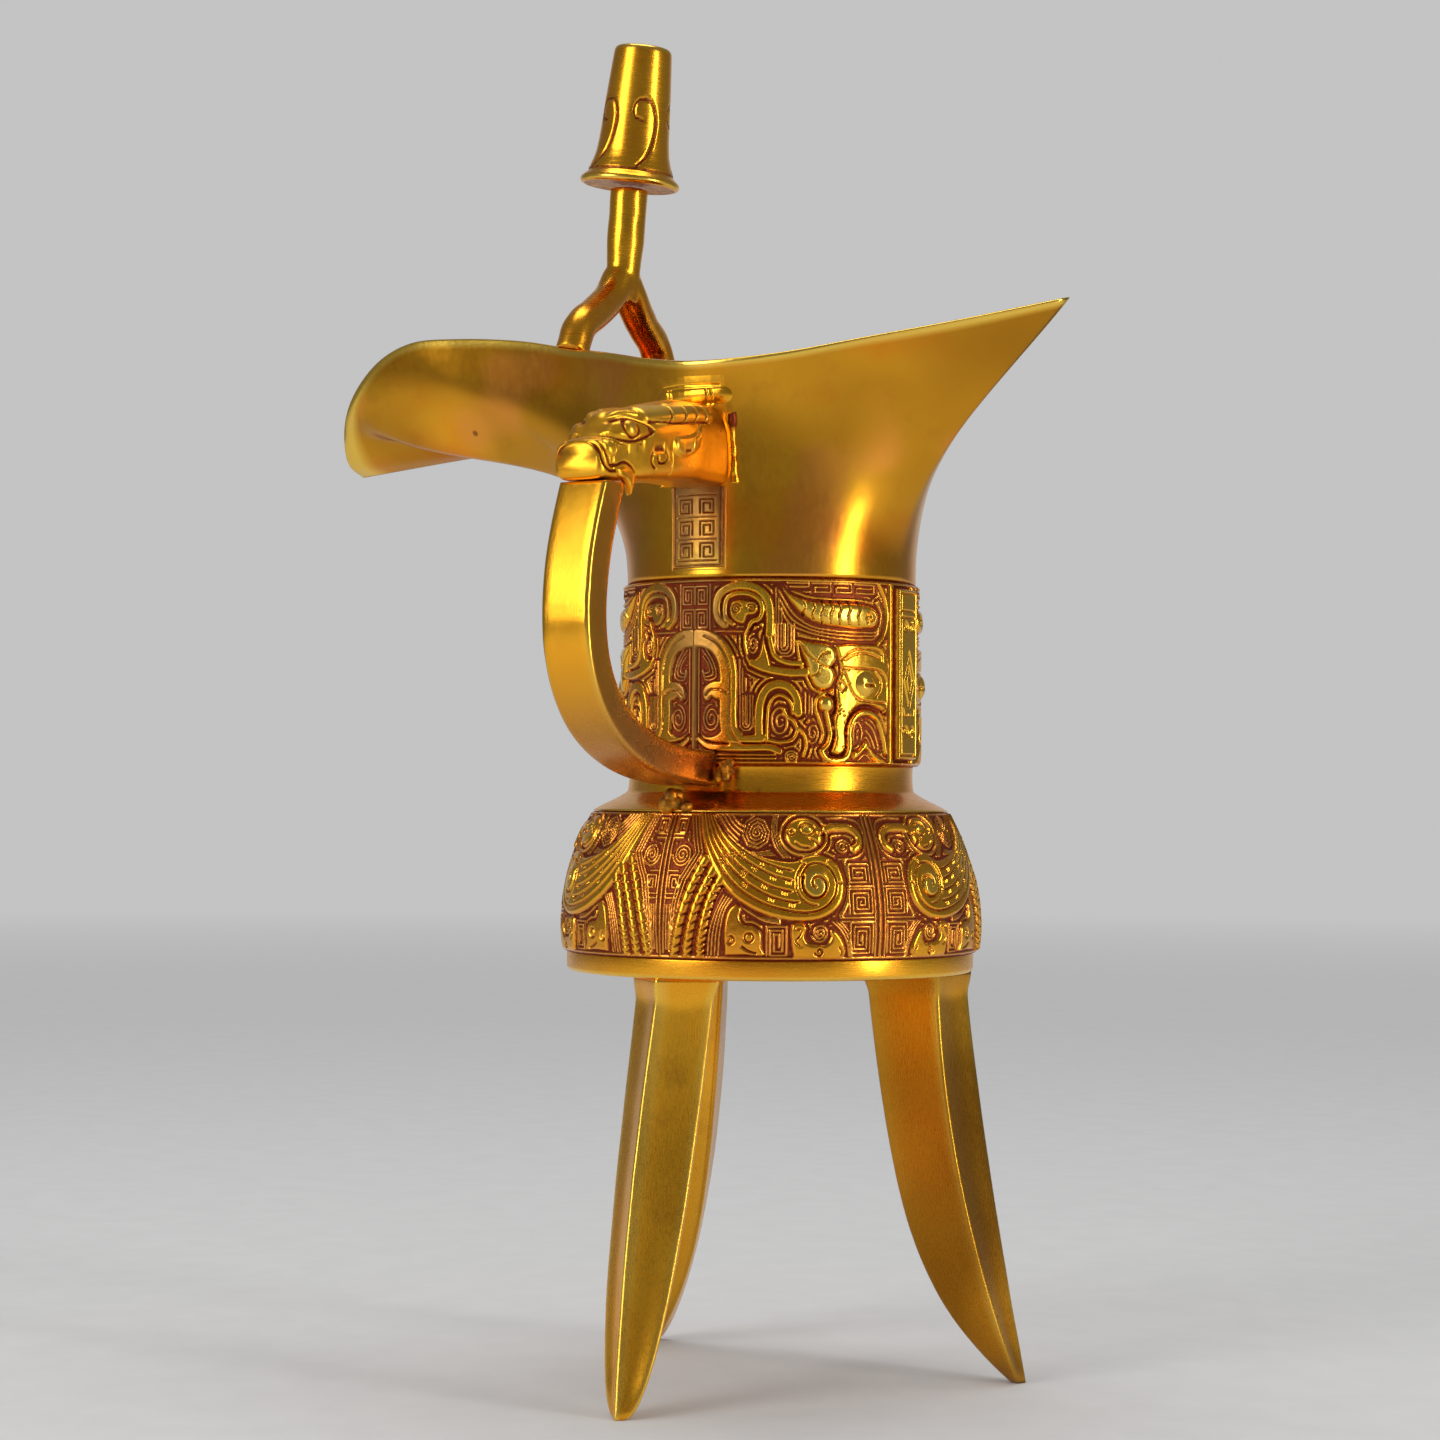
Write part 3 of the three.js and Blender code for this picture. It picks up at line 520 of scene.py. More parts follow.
def make_mouth():
    """Neck, spout and tail as one open shell with a soft round lip."""
    levels = 44
    outer = wall_columns(8, levels)
    inner = inset_columns(outer, WALL)
    # At the tail's tip the two inner faces meet in one line.
    inner[0, :, 0] = np.maximum(inner[0, :, 0], inner[1, :, 0] + 0.25)
    inner[0, :, 2] = inner[1, :, 2] + 0.05
    outer_rings, inner_rings = full_rings(outer), full_rings(inner)
    angle = np.arctan2(outer_rings[0][:, 1], outer_rings[0][:, 0])

    def ring(radius, z):
        return np.stack([radius * np.cos(angle), radius * np.sin(angle), np.full(len(angle), z)], 1)

    # The lip is a soft round edge between the two faces.
    top_out, top_in = outer_rings[-1], inner_rings[-1]
    rise = outer_rings[-1] - outer_rings[-2]
    rise /= np.linalg.norm(rise, axis=1)[:, None]
    rim = []
    for share in (0.06, 0.2, 0.4, 0.6, 0.8, 0.94):
        lift = 0.42 * math.sqrt(1 - (2 * share - 1) ** 2)
        rim.append(top_out + (top_in - top_out) * share + rise * (lift - 0.42))
    spigot = WAIST_RADIUS - WALL - 0.3
    bore = NECK_RADIUS - WALL - 1.4
    rings = [ring(spigot, SHOULDER_TOP), ring(spigot, WAIST_TOP)]
    rings += [ring(NECK_RADIUS - 0.35, WAIST_TOP)]
    shaped = outer_rings[:-1]
    rings += list(shaped)
    rings += [outer_rings[-1] - rise * 0.42] + rim + [inner_rings[-1] - rise * 0.42]
    rings += list(inner_rings[1:-1][::-1])
    rings += [ring(bore, WAIST_TOP - 3), ring(bore, SHOULDER_TOP)]
    rings = np.array(rings)
    points = rings.reshape(-1, 3)
    faces = grid_faces(len(rings), rings.shape[1], wrap_rows=True, wrap_columns=True)
    # Slight unevenness of the sheet.
    dents = 0.05 * value_noise(points, 9.0, 3) + 0.02 * value_noise(points, 3.5, 5)
    out = points * (1, 1, 0)
    out /= np.maximum(np.linalg.norm(out, axis=1), 1e-6)[:, None]
    free = smooth(WAIST_TOP + 0.5, WAIST_TOP + 6, points[:, 2]) * smooth(-94, -88, points[:, 0])
    points = points - out * (0.06 + dents)[:, None] * free[:, None]
    wear = np.zeros(len(rings))
    first = 3 + len(shaped)
    wear[first - 1:first + 8] = 1
    wear = np.repeat(wear, rings.shape[1])
    cloud = np.clip(0.5 + 1.1 * value_noise(points, 16.0, 12), 0, 1)
    # Patina mottle over the neck; the tail end and the spout end are also darkened as painted shade.
    patina_and_painted_shade = smooth(22, 46, points[:, 0]) * (0.45 + 0.4 * cloud)
    patina_and_painted_shade += 0.6 * smooth(-30, -62, points[:, 0]) * cloud
    patina_and_painted_shade = np.maximum(patina_and_painted_shade, 0.55 * cloud) * (1 - wear)
    patches = 0.8 * smooth(0.1, 0.5, value_noise(points, 10.0, 14)) * (1 - wear)
    marks = {"wear": wear, "shade": np.clip(patina_and_painted_shade, 0, 0.85), "ember": patches}
    return add_piece("mouth", points, faces, NECK, ["mouth_casting"], marks)


# Plain turned rings


def belly_outline(count=40):
    """The belly's outer profile as (radius, height), from the base ring up."""
    path = ((38.9, BASE_TOP), (40.385, BASE_TOP + BELLY_HEIGHT * 0.35),
            (37.824, BASE_TOP + BELLY_HEIGHT * 0.72), (BELLY_TOP_RADIUS, BELLY_TOP))
    return bezier(path, np.linspace(0, 1, count))


def make_shoulder():
    """The slope over the belly and the plain collar below the waist."""
    slope = bezier(((33.4, BELLY_TOP), (31.0, BELLY_TOP + 1.5), (28.6, BELLY_TOP + 2.2),
                    (26.9, BELLY_TOP + 3.6)),
                   np.linspace(0, 1, 14))
    neck = bezier(((26.9, BELLY_TOP + 3.6), (26.55, BELLY_TOP + 4.6), (26.6, SHOULDER_TOP - 1),
                   (26.8, SHOULDER_TOP)),
                  np.linspace(0, 1, 10))[1:]
    inner = [(23.1, SHOULDER_TOP), (23.1, SHOULDER_TOP - 4), (30.4, BELLY_TOP)]
    points, faces = lathe(np.vstack([slope, neck, inner]), 192)
    points = points - points * (1, 1, 0) * (0.0022 * value_noise(points, 5.0, 8) + 0.001)[:, None]
    radius = np.hypot(points[:, 0], points[:, 1])
    edge = 0.5 * smooth(1.2, 0, np.abs(points[:, 2] - BELLY_TOP)) * smooth(32, 33, radius)
    add_piece("shoulder", points, faces, POLISHED, ["shoulder_ring"], {"wear": edge})


def make_base():
    """The plain ring under the belly."""
    bore = BASE_RADIUS - 2.4
    corners = [(BASE_RADIUS - 0.1, LEG_HEIGHT), (BASE_RADIUS, BASE_TOP), (bore, BASE_TOP),
               (bore, LEG_HEIGHT + 1.6), (bore - 3, LEG_HEIGHT + 1.6), (bore - 3, LEG_HEIGHT)]
    outline = rounded(corners, [0.9, 0.35, 0.2, 0.2, 0.2, 0.4], 5)
    points, faces = lathe(outline, 192)
    radius = np.hypot(points[:, 0], points[:, 1])
    edge = smooth(1.0, 0.2, points[:, 2] - LEG_HEIGHT) * smooth(37.2, 37.9, radius)
    points = points - points * (1, 1, 0) * (0.0015 + 0.0015 * value_noise(points, 6.0, 11))[:, None]
    add_piece("base", points, faces, POLISHED, ["base_ring"], {"wear": edge})


# Legs


def make_leg(name, facing, lean=0.0, bow=0.0, aged=0.0):
    """A sabre leg that points along its facing: an outer ridge, two side edges and an inner edge.

    The share t runs from 1 at the tip to 0 at the base ring. lean and bow shift the leg sideways, and
    aged is the share of brown, as patina and as painted shade."""
    corner_radii = [0.55, 0.75, 1.2, 0.75]
    corner_wear = [1.0, 0.7, 0.25, 0.7]
    steps = 5
    rings, marks = [], []
    a = math.radians(facing)
    turn = np.array([[math.cos(a), -math.sin(a)], [math.sin(a), math.cos(a)]])
    for t in np.linspace(1, 0, 110):
        ridge = between(37, 48.4, t ** 1.25)
        side = between(31.3, 46.5, t ** 1.85)
        inner = between(17.7, 45.1, 0.42 * t ** 1.2 + 0.58 * t ** 5)
        half = between(1.3, 8.6, math.sqrt(1 - t ** 3))
        flare = 0.9 * smooth(0.06, 0.0, np.array(t))
        half, ridge, inner = half + flare, ridge + flare, inner - flare
        shift = lean * t + bow * t * (1 - t)
        corners = [(ridge, shift), (side, shift + half), (inner, shift), (side, shift - half)]
        outline = rounded(corners, corner_radii, steps)
        xy = outline @ turn.T
        rings.append(np.column_stack([xy, np.full(len(xy), LEG_HEIGHT * (1 - t))]))
        marks.append(np.repeat(corner_wear, steps))
    # The long faces are filled in with more points, so that the two outer ones can dish a little.
    rings, marks = np.array(rings), np.array(marks)
    dense, dense_marks, dish = [], [], []
    count = rings.shape[1]
    for j in range(count):
        k = (j + 1) % count
        long_face = j % steps == steps - 1
        for s in (np.linspace(0, 1, 9)[:-1] if long_face else [0.0]):
            dense.append(rings[:, j] * (1 - s) + rings[:, k] * s)
            dense_marks.append(marks[:, j] * (1 - smooth(0, 0.25, np.array(s))) if s else marks[:, j])
            dish.append(math.sin(math.pi * s) if j in (steps - 1, count - 1) else 0.0)
    dense = np.array(dense).transpose(1, 0, 2)
    dense_marks = np.array(dense_marks).T
    centre = dense.mean(1, keepdims=True)
    pull = (centre - dense) * (1, 1, 0)
    pull /= np.maximum(np.linalg.norm(pull, axis=2, keepdims=True), 1e-6)
    fade = smooth(0, 8, dense[:, :, 2:3]) * smooth(LEG_HEIGHT, LEG_HEIGHT - 6, dense[:, :, 2:3])
    dense = dense + pull * np.array(dish)[None, :, None] * 0.45 * fade
    flat = dense.reshape(-1, 3)
    flat = flat + (pull * fade).reshape(-1, 3) * (0.05 + 0.05 * value_noise(flat, 7.0, 21))[:, None]
    points, faces = capped_rings(list(flat.reshape(dense.shape)))
    wear = dense_marks.reshape(-1) * (0.75 + 0.25 * value_noise(points, 6.0, 4))
    # Brown patina, which also stands for painted shade on the legs that stand away from the light.
    leg_patina_and_shade = aged * np.clip(0.8 + 0.5 * value_noise(points, 14.0, 6), 0, 1)
    marks = {"wear": np.clip(wear, 0, 1), "shade": leg_patina_and_shade}
    add_piece(name, points, faces, LEG, [name], marks)


# Handle strap


def strap_path(count):
    """The strap's middle line as (reach, height), from the snout down to the shoulder."""
    thick = STRAP_THICK
    reach = HANDLE_REACH - thick / 2
    top = HEAD_BASE + thick / 6
    wide = (reach, between(STRAP_FOOT, top, 0.515))
    landing = COLLAR_RADIUS * 1.16
    arrival = (landing, STRAP_FOOT + thick / 8)
    upper = ((60.2, top), (between(60.2, reach, 0.5), between(top, wide[1], 0.303)),
             (reach, between(wide[1], top, 0.341)), wide)
    lower = (wide, (reach, between(wide[1], STRAP_FOOT, 0.58)),
             (between(landing, reach, 0.71), between(STRAP_FOOT, wide[1], 0.07)), arrival)
    end = np.array([COLLAR_RADIUS * 0.925, STRAP_FOOT + thick / 10])
    path = np.vstack([
        bezier(upper, np.linspace(0, 1, count)),
        bezier(lower, np.linspace(0, 1, count))[1:],
        np.linspace(arrival, end, 8)[1:],
    ])
    return path[(path[:, 1] < STRAP_TOP - 0.05) & (path[:, 0] > COLLAR_RADIUS + 0.2)]


def make_strap():
    """The flat strap of the handle, with worn edges."""
    path = strap_path(60)
    path = np.vstack([[path[0, 0] + 0.02, STRAP_TOP], path])
    half_w, half_t = STRAP_WIDTH / 2, STRAP_THICK / 2
    corners = [(half_w, -half_t), (half_w, half_t), (-half_w, half_t), (-half_w, -half_t)]
    section = resample(rounded(corners, 1.0, 5), 1.1)
    rings = []
    for k, p in enumerate(path):
        way = path[min(k + 1, len(path) - 1)] - path[max(k - 1, 0)]
        way /= np.linalg.norm(way)
        out = np.array([-way[1], way[0]])
        if k == 0:
            out = np.array([1.0, 0.0])
        q = p + section[:, 1:2] * out
        rings.append(np.column_stack([section[:, 0], -q[:, 0], q[:, 1]]))
    points, faces = capped_rings(rings)
    from_side, from_face = half_w - np.abs(section[:, 0]), half_t - np.abs(section[:, 1])
    wear = np.tile(smooth(1.0, 0.2, np.maximum(from_side, from_face)), len(path))
    points[:, 2] = np.minimum(points[:, 2], STRAP_TOP)
    points = points + 0.03 * value_noise(points, 5.0, 31)[:, None] * (1, 1, 0)
    points[:, 1] = np.maximum(points[:, 1], 0.03 - HANDLE_REACH)
    low = smooth(STRAP_FOOT + 20, STRAP_FOOT + 2, points[:, 2])
    flank = np.tile(smooth(0.6, 0.0, from_side) * smooth(0.3, 1.2, from_face), len(path))
    marks = {"wear": 0.6 * wear, "ember": np.clip(0.55 * flank + 0.6 * low, 0, 1), "aged": 0.55 * low}
    add_piece("strap", points, faces, STRAP, ["handle_strap"], marks)


# Cap, fork and braze beads


def make_cap(top_x, top_z, lean):
    """The bell cap: a flared foot with a ring groove, five comma hooks, and a small dish on top."""
    base, top, height = 9.7, 5.4, 26.97
    hooks, hook_start, hook_radius, hook_depth = 5, math.radians(48), 6.6, 0.3
    outline = [(between(top, base, s), height * h) for s, h in (
        (0.78, 0.0), (0.93, 0.008), (1.0, 0.026), (0.97, 0.045), (0.884, 0.059), (0.70, 0.085),
        (0.655, 0.094), (0.665, 0.106), (0.605, 0.133), (0.5, 0.18), (0.40, 0.24), (0.326, 0.333),
        (0.26, 0.48), (0.209, 0.63), (0.12, 0.82), (0.055, 0.95), (0.03, 0.975), (-0.03, 0.992),
        (-0.12, 1.0))]
    dish = [(3.8, 0.995), (3.3, 0.985), (2.6, 0.965), (1.4, 0.957), (0.02, 0.955)]
    under = [(0.02, 0.4), (5.4, 0.4), (8.0, 0.15)]
    profile = resample(np.array(outline + [(r, height * h) for r, h in dish] + under), 0.45)
    points, faces = lathe(profile, 160)
    angle = np.arctan2(points[:, 1], points[:, 0])
    z = points[:, 2]
    radius = np.hypot(points[:, 0], points[:, 1])
    depth = np.zeros(len(points))
    for turn in np.arange(hooks) * 2 * np.pi / hooks:
        u = ((angle - turn + hook_start + np.pi) % (2 * np.pi) - np.pi) * hook_radius
        near = (np.abs(u) < 4.2) & (z > 2.5) & (radius > 4)
        d = stroke_distance(np.column_stack([u[near], z[near]]), [hook_line()])
        depth[near] = np.maximum(depth[near], smooth(0.4, 0.12, d))
    points = points - points * (1, 1, 0) / np.maximum(radius, 1)[:, None] * (hook_depth * depth)[:, None]
    groove = smooth(0.45, 0.15, np.abs(z - height * 0.1)) * (radius > 7)
    # The underside is darkened as painted shade.
    underside = (z < 0.6) & (radius < 8.8)
    dark = 0.95 * depth + 0.6 * groove + 0.5 * underside
    foot_edge = smooth(0.6, 0.1, np.abs(z - 0.7)) * (radius > 8.8)
    top_edge = smooth(height * 0.96, height * 0.985, z) * (radius > 4)
    marks = {"dark": dark, "wear": np.clip(foot_edge + top_edge, 0, 1)}
    c, s = math.cos(lean), math.sin(lean)
    x, y = points[:, 0], points[:, 1]
    turned = np.column_stack([x * c + z * s + top_x, y, z * c - x * s + top_z])
    add_piece("cap", turned, faces, POLISHED, ["post_cap"], marks)


def stroke_distance(p, strokes):
    """Distance from the points p (n, 2) to the nearest of some polylines."""
    best = np.full(len(p), 1e9)
    for line in strokes:
        line = np.asarray(line, float)
        for a, b in zip(line[:-1], line[1:]):
            ab = b - a
            t = np.clip(((p - a) @ ab) / max(float(ab @ ab), 1e-12), 0, 1)
            best = np.minimum(best, ((p - a - t[:, None] * ab) ** 2).sum(1))
    return np.sqrt(best)


def hook_line():
    """A long comma hook that is cut in the cap."""
    return catmull([(-0.2, 3.3), (1.6, 5.6), (2.9, 9.4), (3.1, 13.2), (1.5, 16.2), (-0.9, 15.9),
                    (-1.7, 14.1), (-1.0, 12.5), (0.4, 12.2)], 60)


def tube(points, radii, sides=24, steps=40):
    """A round bar along a curve through the points, with radii spread evenly along it."""
    path = catmull(points, steps)
    size = np.interp(np.linspace(0, 1, steps), np.linspace(0, 1, len(radii)), radii)
    rings = []
    side = np.array([1.0, 0, 0])
    for k, p in enumerate(path):
        way = path[min(k + 1, steps - 1)] - path[max(k - 1, 0)]
        way /= np.linalg.norm(way)
        side = side - way * (side @ way)
        side /= np.linalg.norm(side)
        other = np.cross(way, side)
        a = np.linspace(0, 2 * np.pi, sides, endpoint=False)[:, None]
        rings.append(p + size[k] * (np.cos(a) * side + np.sin(a) * other))
    return capped_rings(rings)


def joined(parts):
    """Several (points, faces) as one."""
    points, faces, start = [], [], 0
    for p, f in parts:
        points.append(p)
        faces += [[i + start for i in face] for face in f]
        start += len(p)
    return np.concatenate(points), faces


def make_fork():
    """Two arms that stand on the lip and the shaft that they carry; returns the shaft's top (x, z)."""
    setback, skew, root, rod, shaft = 34.6, 1.5, -34.1, 3.3, 3.85
    shaft_rise, shaft_tilt = 20.6, 0.085
    lip = catmull([(r[0], r[1], r[2] + WAIST_TOP) for r in lip_stations()], 401)

    def lip_at(x):
        return lip[np.argmax(lip[:, 0] <= x)]

    crotch = lip_at(-setback)[2] + 12.4
    top_x = root + math.tan(shaft_tilt) * shaft_rise
    top_z = crotch + shaft_rise
    parts = []
    for side in (-1, 1):
        at = -setback - side * skew
        spread = lip_at(at)[1] - WALL / 2
        foot = lip_at(at - 3.4)[2] + 0.3
        path = [(root, side * rod * 0.18, between(crotch, foot, -0.28)),
                (root, side * rod * 1.24, between(crotch, foot, 0.08)),
                (between(root, at, 0.6), side * spread * 0.54, between(crotch, foot, 0.42)),
                (at, side * spread * 0.85, between(crotch, foot, 0.72)),
                (at, side * spread, between(crotch, foot, 1.18))]
        parts.append(tube(path, [shaft * 0.9, rod, rod, rod, rod]))
    middle = (between(root, top_x, 0.5), 0, between(crotch, top_z, 0.5))
    path = [(root, 0, crotch - shaft * 0.38), middle, (top_x, 0, top_z)]
    parts.append(tube(path, [rod * 0.9, shaft * 0.97, shaft * 0.97]))
    points, faces = joined(parts)
    obj = add_piece("fork", points, faces, POLISHED, ["post_fork"])
    with_modifiers(obj, ("REMESH", {"mode": "VOXEL", "voxel_size": 0.34 * MM}),
                   ("SMOOTH", {"factor": 0.5, "iterations": 8}))
    points = mesh_points(obj)
    # The arms end on the lip.
    foot = np.interp(points[:, 0], lip[::-1, 0], lip[::-1, 2]) + 0.02
    low = smooth(2.2, 0, points[:, 2] - foot)
    normal = mesh_normals(obj)
    points += normal * (0.10 * value_noise(points, 3.0, 41) * (1 - low) - 0.08)[:, None]
    points[:, 2] = np.clip(points[:, 2], foot, top_z)
    set_points(obj, points)
    set_mark(obj.data, "dark", 0.45 * low * (0.6 + 0.4 * value_noise(points, 1.5, 43)))
    return top_x, top_z


def make_bead(name, centre, size, seed, replaces):
    """A lumpy bead of braze metal, from a few merged drops."""
    rng = np.random.RandomState(seed)
    parts = []
    for _ in range(9):
        spot = np.array(centre) + (rng.rand(3) * 2 - 1) * (np.array(size) * 0.55)
        radius = min(size) * (0.45 + 0.25 * rng.rand())
        a = np.linspace(0, np.pi, 9)
        profile = np.column_stack([np.maximum(np.sin(a), 0.02) * radius, -np.cos(a) * radius])
        p, f = lathe(profile, 14)
        parts.append((p + spot, f))
    points, faces = joined(parts)
    obj = add_piece(name, points, faces, BRAZE, replaces)
    with_modifiers(obj, ("REMESH", {"mode": "VOXEL", "voxel_size": 0.16 * MM}),
                   ("SMOOTH", {"factor": 0.6, "iterations": 5}))
    points = mesh_points(obj)
    points += mesh_normals(obj) * (0.10 * value_noise(points, 0.8, seed))[:, None]
    low, high = np.array(centre) - size, np.array(centre) + size
    set_points(obj, np.clip(points, low, high))
    shade = 0.5 + 0.35 * value_noise(points, 1.6, seed + 1)
    set_mark(obj.data, "dark", np.clip(shade, 0, 1))


# Relief drawn with strokes, spirals and outlines, in millimetres


def spiral(centre, outer, inner, turns, start, way=1, stretch=1.0):
    """A spiral line from its outer end inwards; start is in degrees and way is 1 or -1."""
    t = np.linspace(0, 1, 36)
    a = math.radians(start) + way * 2 * np.pi * turns * t
    r = outer + (inner - outer) * t
    return np.column_stack([centre[0] + r * np.cos(a), centre[1] + r * np.sin(a) * stretch])


def square_spiral(centre, width, height, pitch, way=1):
    """A square spiral line that winds inwards, as on thunder ground."""
    x0, x1, y0, y1 = -width / 2, width / 2, -height / 2, height / 2
    line = [(x0, y0), (x0, y1), (x1, y1), (x1, y0)]
    x0 += pitch
    while x1 - x0 > pitch and y1 - y0 > pitch:
        line.append((x0, y0))
        y1 -= pitch
        line.append((x0, y1))
        x1 -= pitch
        line.append((x1, y1))
        y0 += pitch
        line.append((x1, y0))
        x0 += pitch
    return [(centre[0] + way * x, centre[1] + y) for x, y in line]


def polygon_distance(p, outline):
    """Signed distance to a closed outline, negative inside."""
    q = np.asarray(outline, float)
    inside = np.zeros(len(p), bool)
    for a, b in zip(q, np.roll(q, -1, 0)):
        if a[1] == b[1]:
            continue
        crosses = (p[:, 1] < a[1]) != (p[:, 1] < b[1])
        x = a[0] + (p[:, 1] - a[1]) / (b[1] - a[1]) * (b[0] - a[0])
        inside ^= crosses & (p[:, 0] < x)
    d = stroke_distance(p, [np.vstack([q, q[:1]])])
    return np.where(inside, -d, d)


class Relief:
    """A height field over flat points: raised forms, cut lines, and a ground of fine threads."""

    def __init__(self, p):
        self.p = p
        self.height = np.zeros(len(p))
        self.away = np.full(len(p), 9.0)
        self.lines = np.full(len(p), 9.0)
        self.cuts = np.zeros(len(p))

    def near(self, line, margin):
        line = np.asarray(line, float)
        low, high = line.min(0) - margin, line.max(0) + margin
        return np.nonzero(((self.p >= low) & (self.p <= high)).all(1))[0]

    def raise_by(self, where, d, level, shoulder):
        lift = level * np.sqrt(np.clip(-d / shoulder, 0, 1) * (2 - np.clip(-d / shoulder, 0, 1)))
        self.height[where] = np.maximum(self.height[where], lift)
        self.away[where] = np.minimum(self.away[where], d)

    def stroke(self, line, half, level=1.0, shoulder=0.45):
        where = self.near(line, half + 4)
        d = stroke_distance(self.p[where], [line]) - half
        self.raise_by(where, d, level, min(shoulder, half))

    def band(self, points, half, level=1.0, shoulder=0.45, count=24):
        self.stroke(catmull(points, count), half, level, shoulder)

    def plate(self, outline, level=1.0, shoulder=0.6, soft=True):
        if soft:
            closed = list(outline) + [outline[0]]
            outline = catmull(closed, 6 * len(outline))[:-1]
        where = self.near(outline, 4)
        self.raise_by(where, polygon_distance(self.p[where], outline), level, shoulder)

    def disc(self, centre, radius, level=1.0, shoulder=0.6):
        where = self.near([centre], radius + 4)
        d = np.hypot(*(self.p[where] - centre).T) - radius
        self.raise_by(where, d, level, shoulder)

    def cut(self, line, width=0.3, depth=0.45):
        where = self.near(line, width + 0.5)
        if len(where):
            d = stroke_distance(self.p[where], [line])
            self.cuts[where] = np.maximum(self.cuts[where], depth * smooth(width, width * 0.25, d))

    def curve(self, points, width=0.3, depth=0.45, count=20):
        self.cut(catmull(points, count), width, depth)

    def finished(self, raised, thread, pitch=0.95, cell=(3.3, 3.1)):
        """Heights in millimetres over the ground, with threads where nothing is raised."""
        x, y = self.p[:, 0], self.p[:, 1]
        contour = 0.5 + 0.5 * np.cos(2 * np.pi * (self.away - 0.62) / pitch)
        column, row = np.floor(x / cell[0]), np.floor(y / cell[1])
        inner = np.column_stack([x - (column + 0.5) * cell[0], y - (row + 0.5) * cell[1]])
        inner[:, 0] *= np.where((column + row) % 2 == 0, 1, -1)
        far = self.away > 0.9
        d = np.full(len(x), 9.0)
        d[far] = stroke_distance(inner[far], [square_spiral((0, 0), cell[0] - 0.75, cell[1] - 0.75, 0.8)])
        maze = smooth(0.36, 0.12, d)
        mixed = np.where(self.away < 1.75, smooth(0.35, 0.75, contour), maze)
        ground = thread * mixed * smooth(0.05, 0.3, self.away) * smooth(0.3, 0.8, self.lines)
        return np.maximum(self.height * raised, ground) - self.cuts


def sector(name, angles, rows, inner, heights, marks, material, replaces):
    """A closed piece of a ring. rows are (radius, z, way out in r, way out in z) of the outer face
    at every height step, inner the (radius, z) corners of the hidden face from the top down."""
    angles = np.asarray(angles)
    rows = np.asarray(rows, float)
    m, n = len(rows), len(angles)
    r = rows[:, 0][:, None] + rows[:, 2][:, None] * heights
    z = rows[:, 1][:, None] + rows[:, 3][:, None] * heights
    outer = np.stack([r * np.cos(angles), r * np.sin(angles), z], 2).reshape(-1, 3)
    back = [np.stack([q[0] * np.cos(angles), q[0] * np.sin(angles), np.full(n, q[1])], 1)
            for q in inner]
    points = np.concatenate([outer] + back)
    total = m + len(inner)
    faces = grid_faces(total, n, wrap_rows=True)
    faces.append([i * n for i in range(total)])
    faces.append([i * n + n - 1 for i in range(total)][::-1])
    padded = {}
    for key, values in marks.items():
        padded[key] = np.concatenate([np.asarray(values).reshape(-1), np.zeros(len(inner) * n)])
    add_piece(name, points, faces, material, replaces, padded)


def cup_lines(r, middle, half, top, low, count, gap=0.55):
    """Nested U lines."""
    for k in range(count):
        w, y = half - gap * k, low + gap * k
        r.stroke([(middle - w, top), (middle - w, y + 0.7), (middle - w * 0.5, y + 0.1),
                  (middle + w * 0.5, y + 0.1), (middle + w, y + 0.7), (middle + w, top)], 0.17, 0.52)


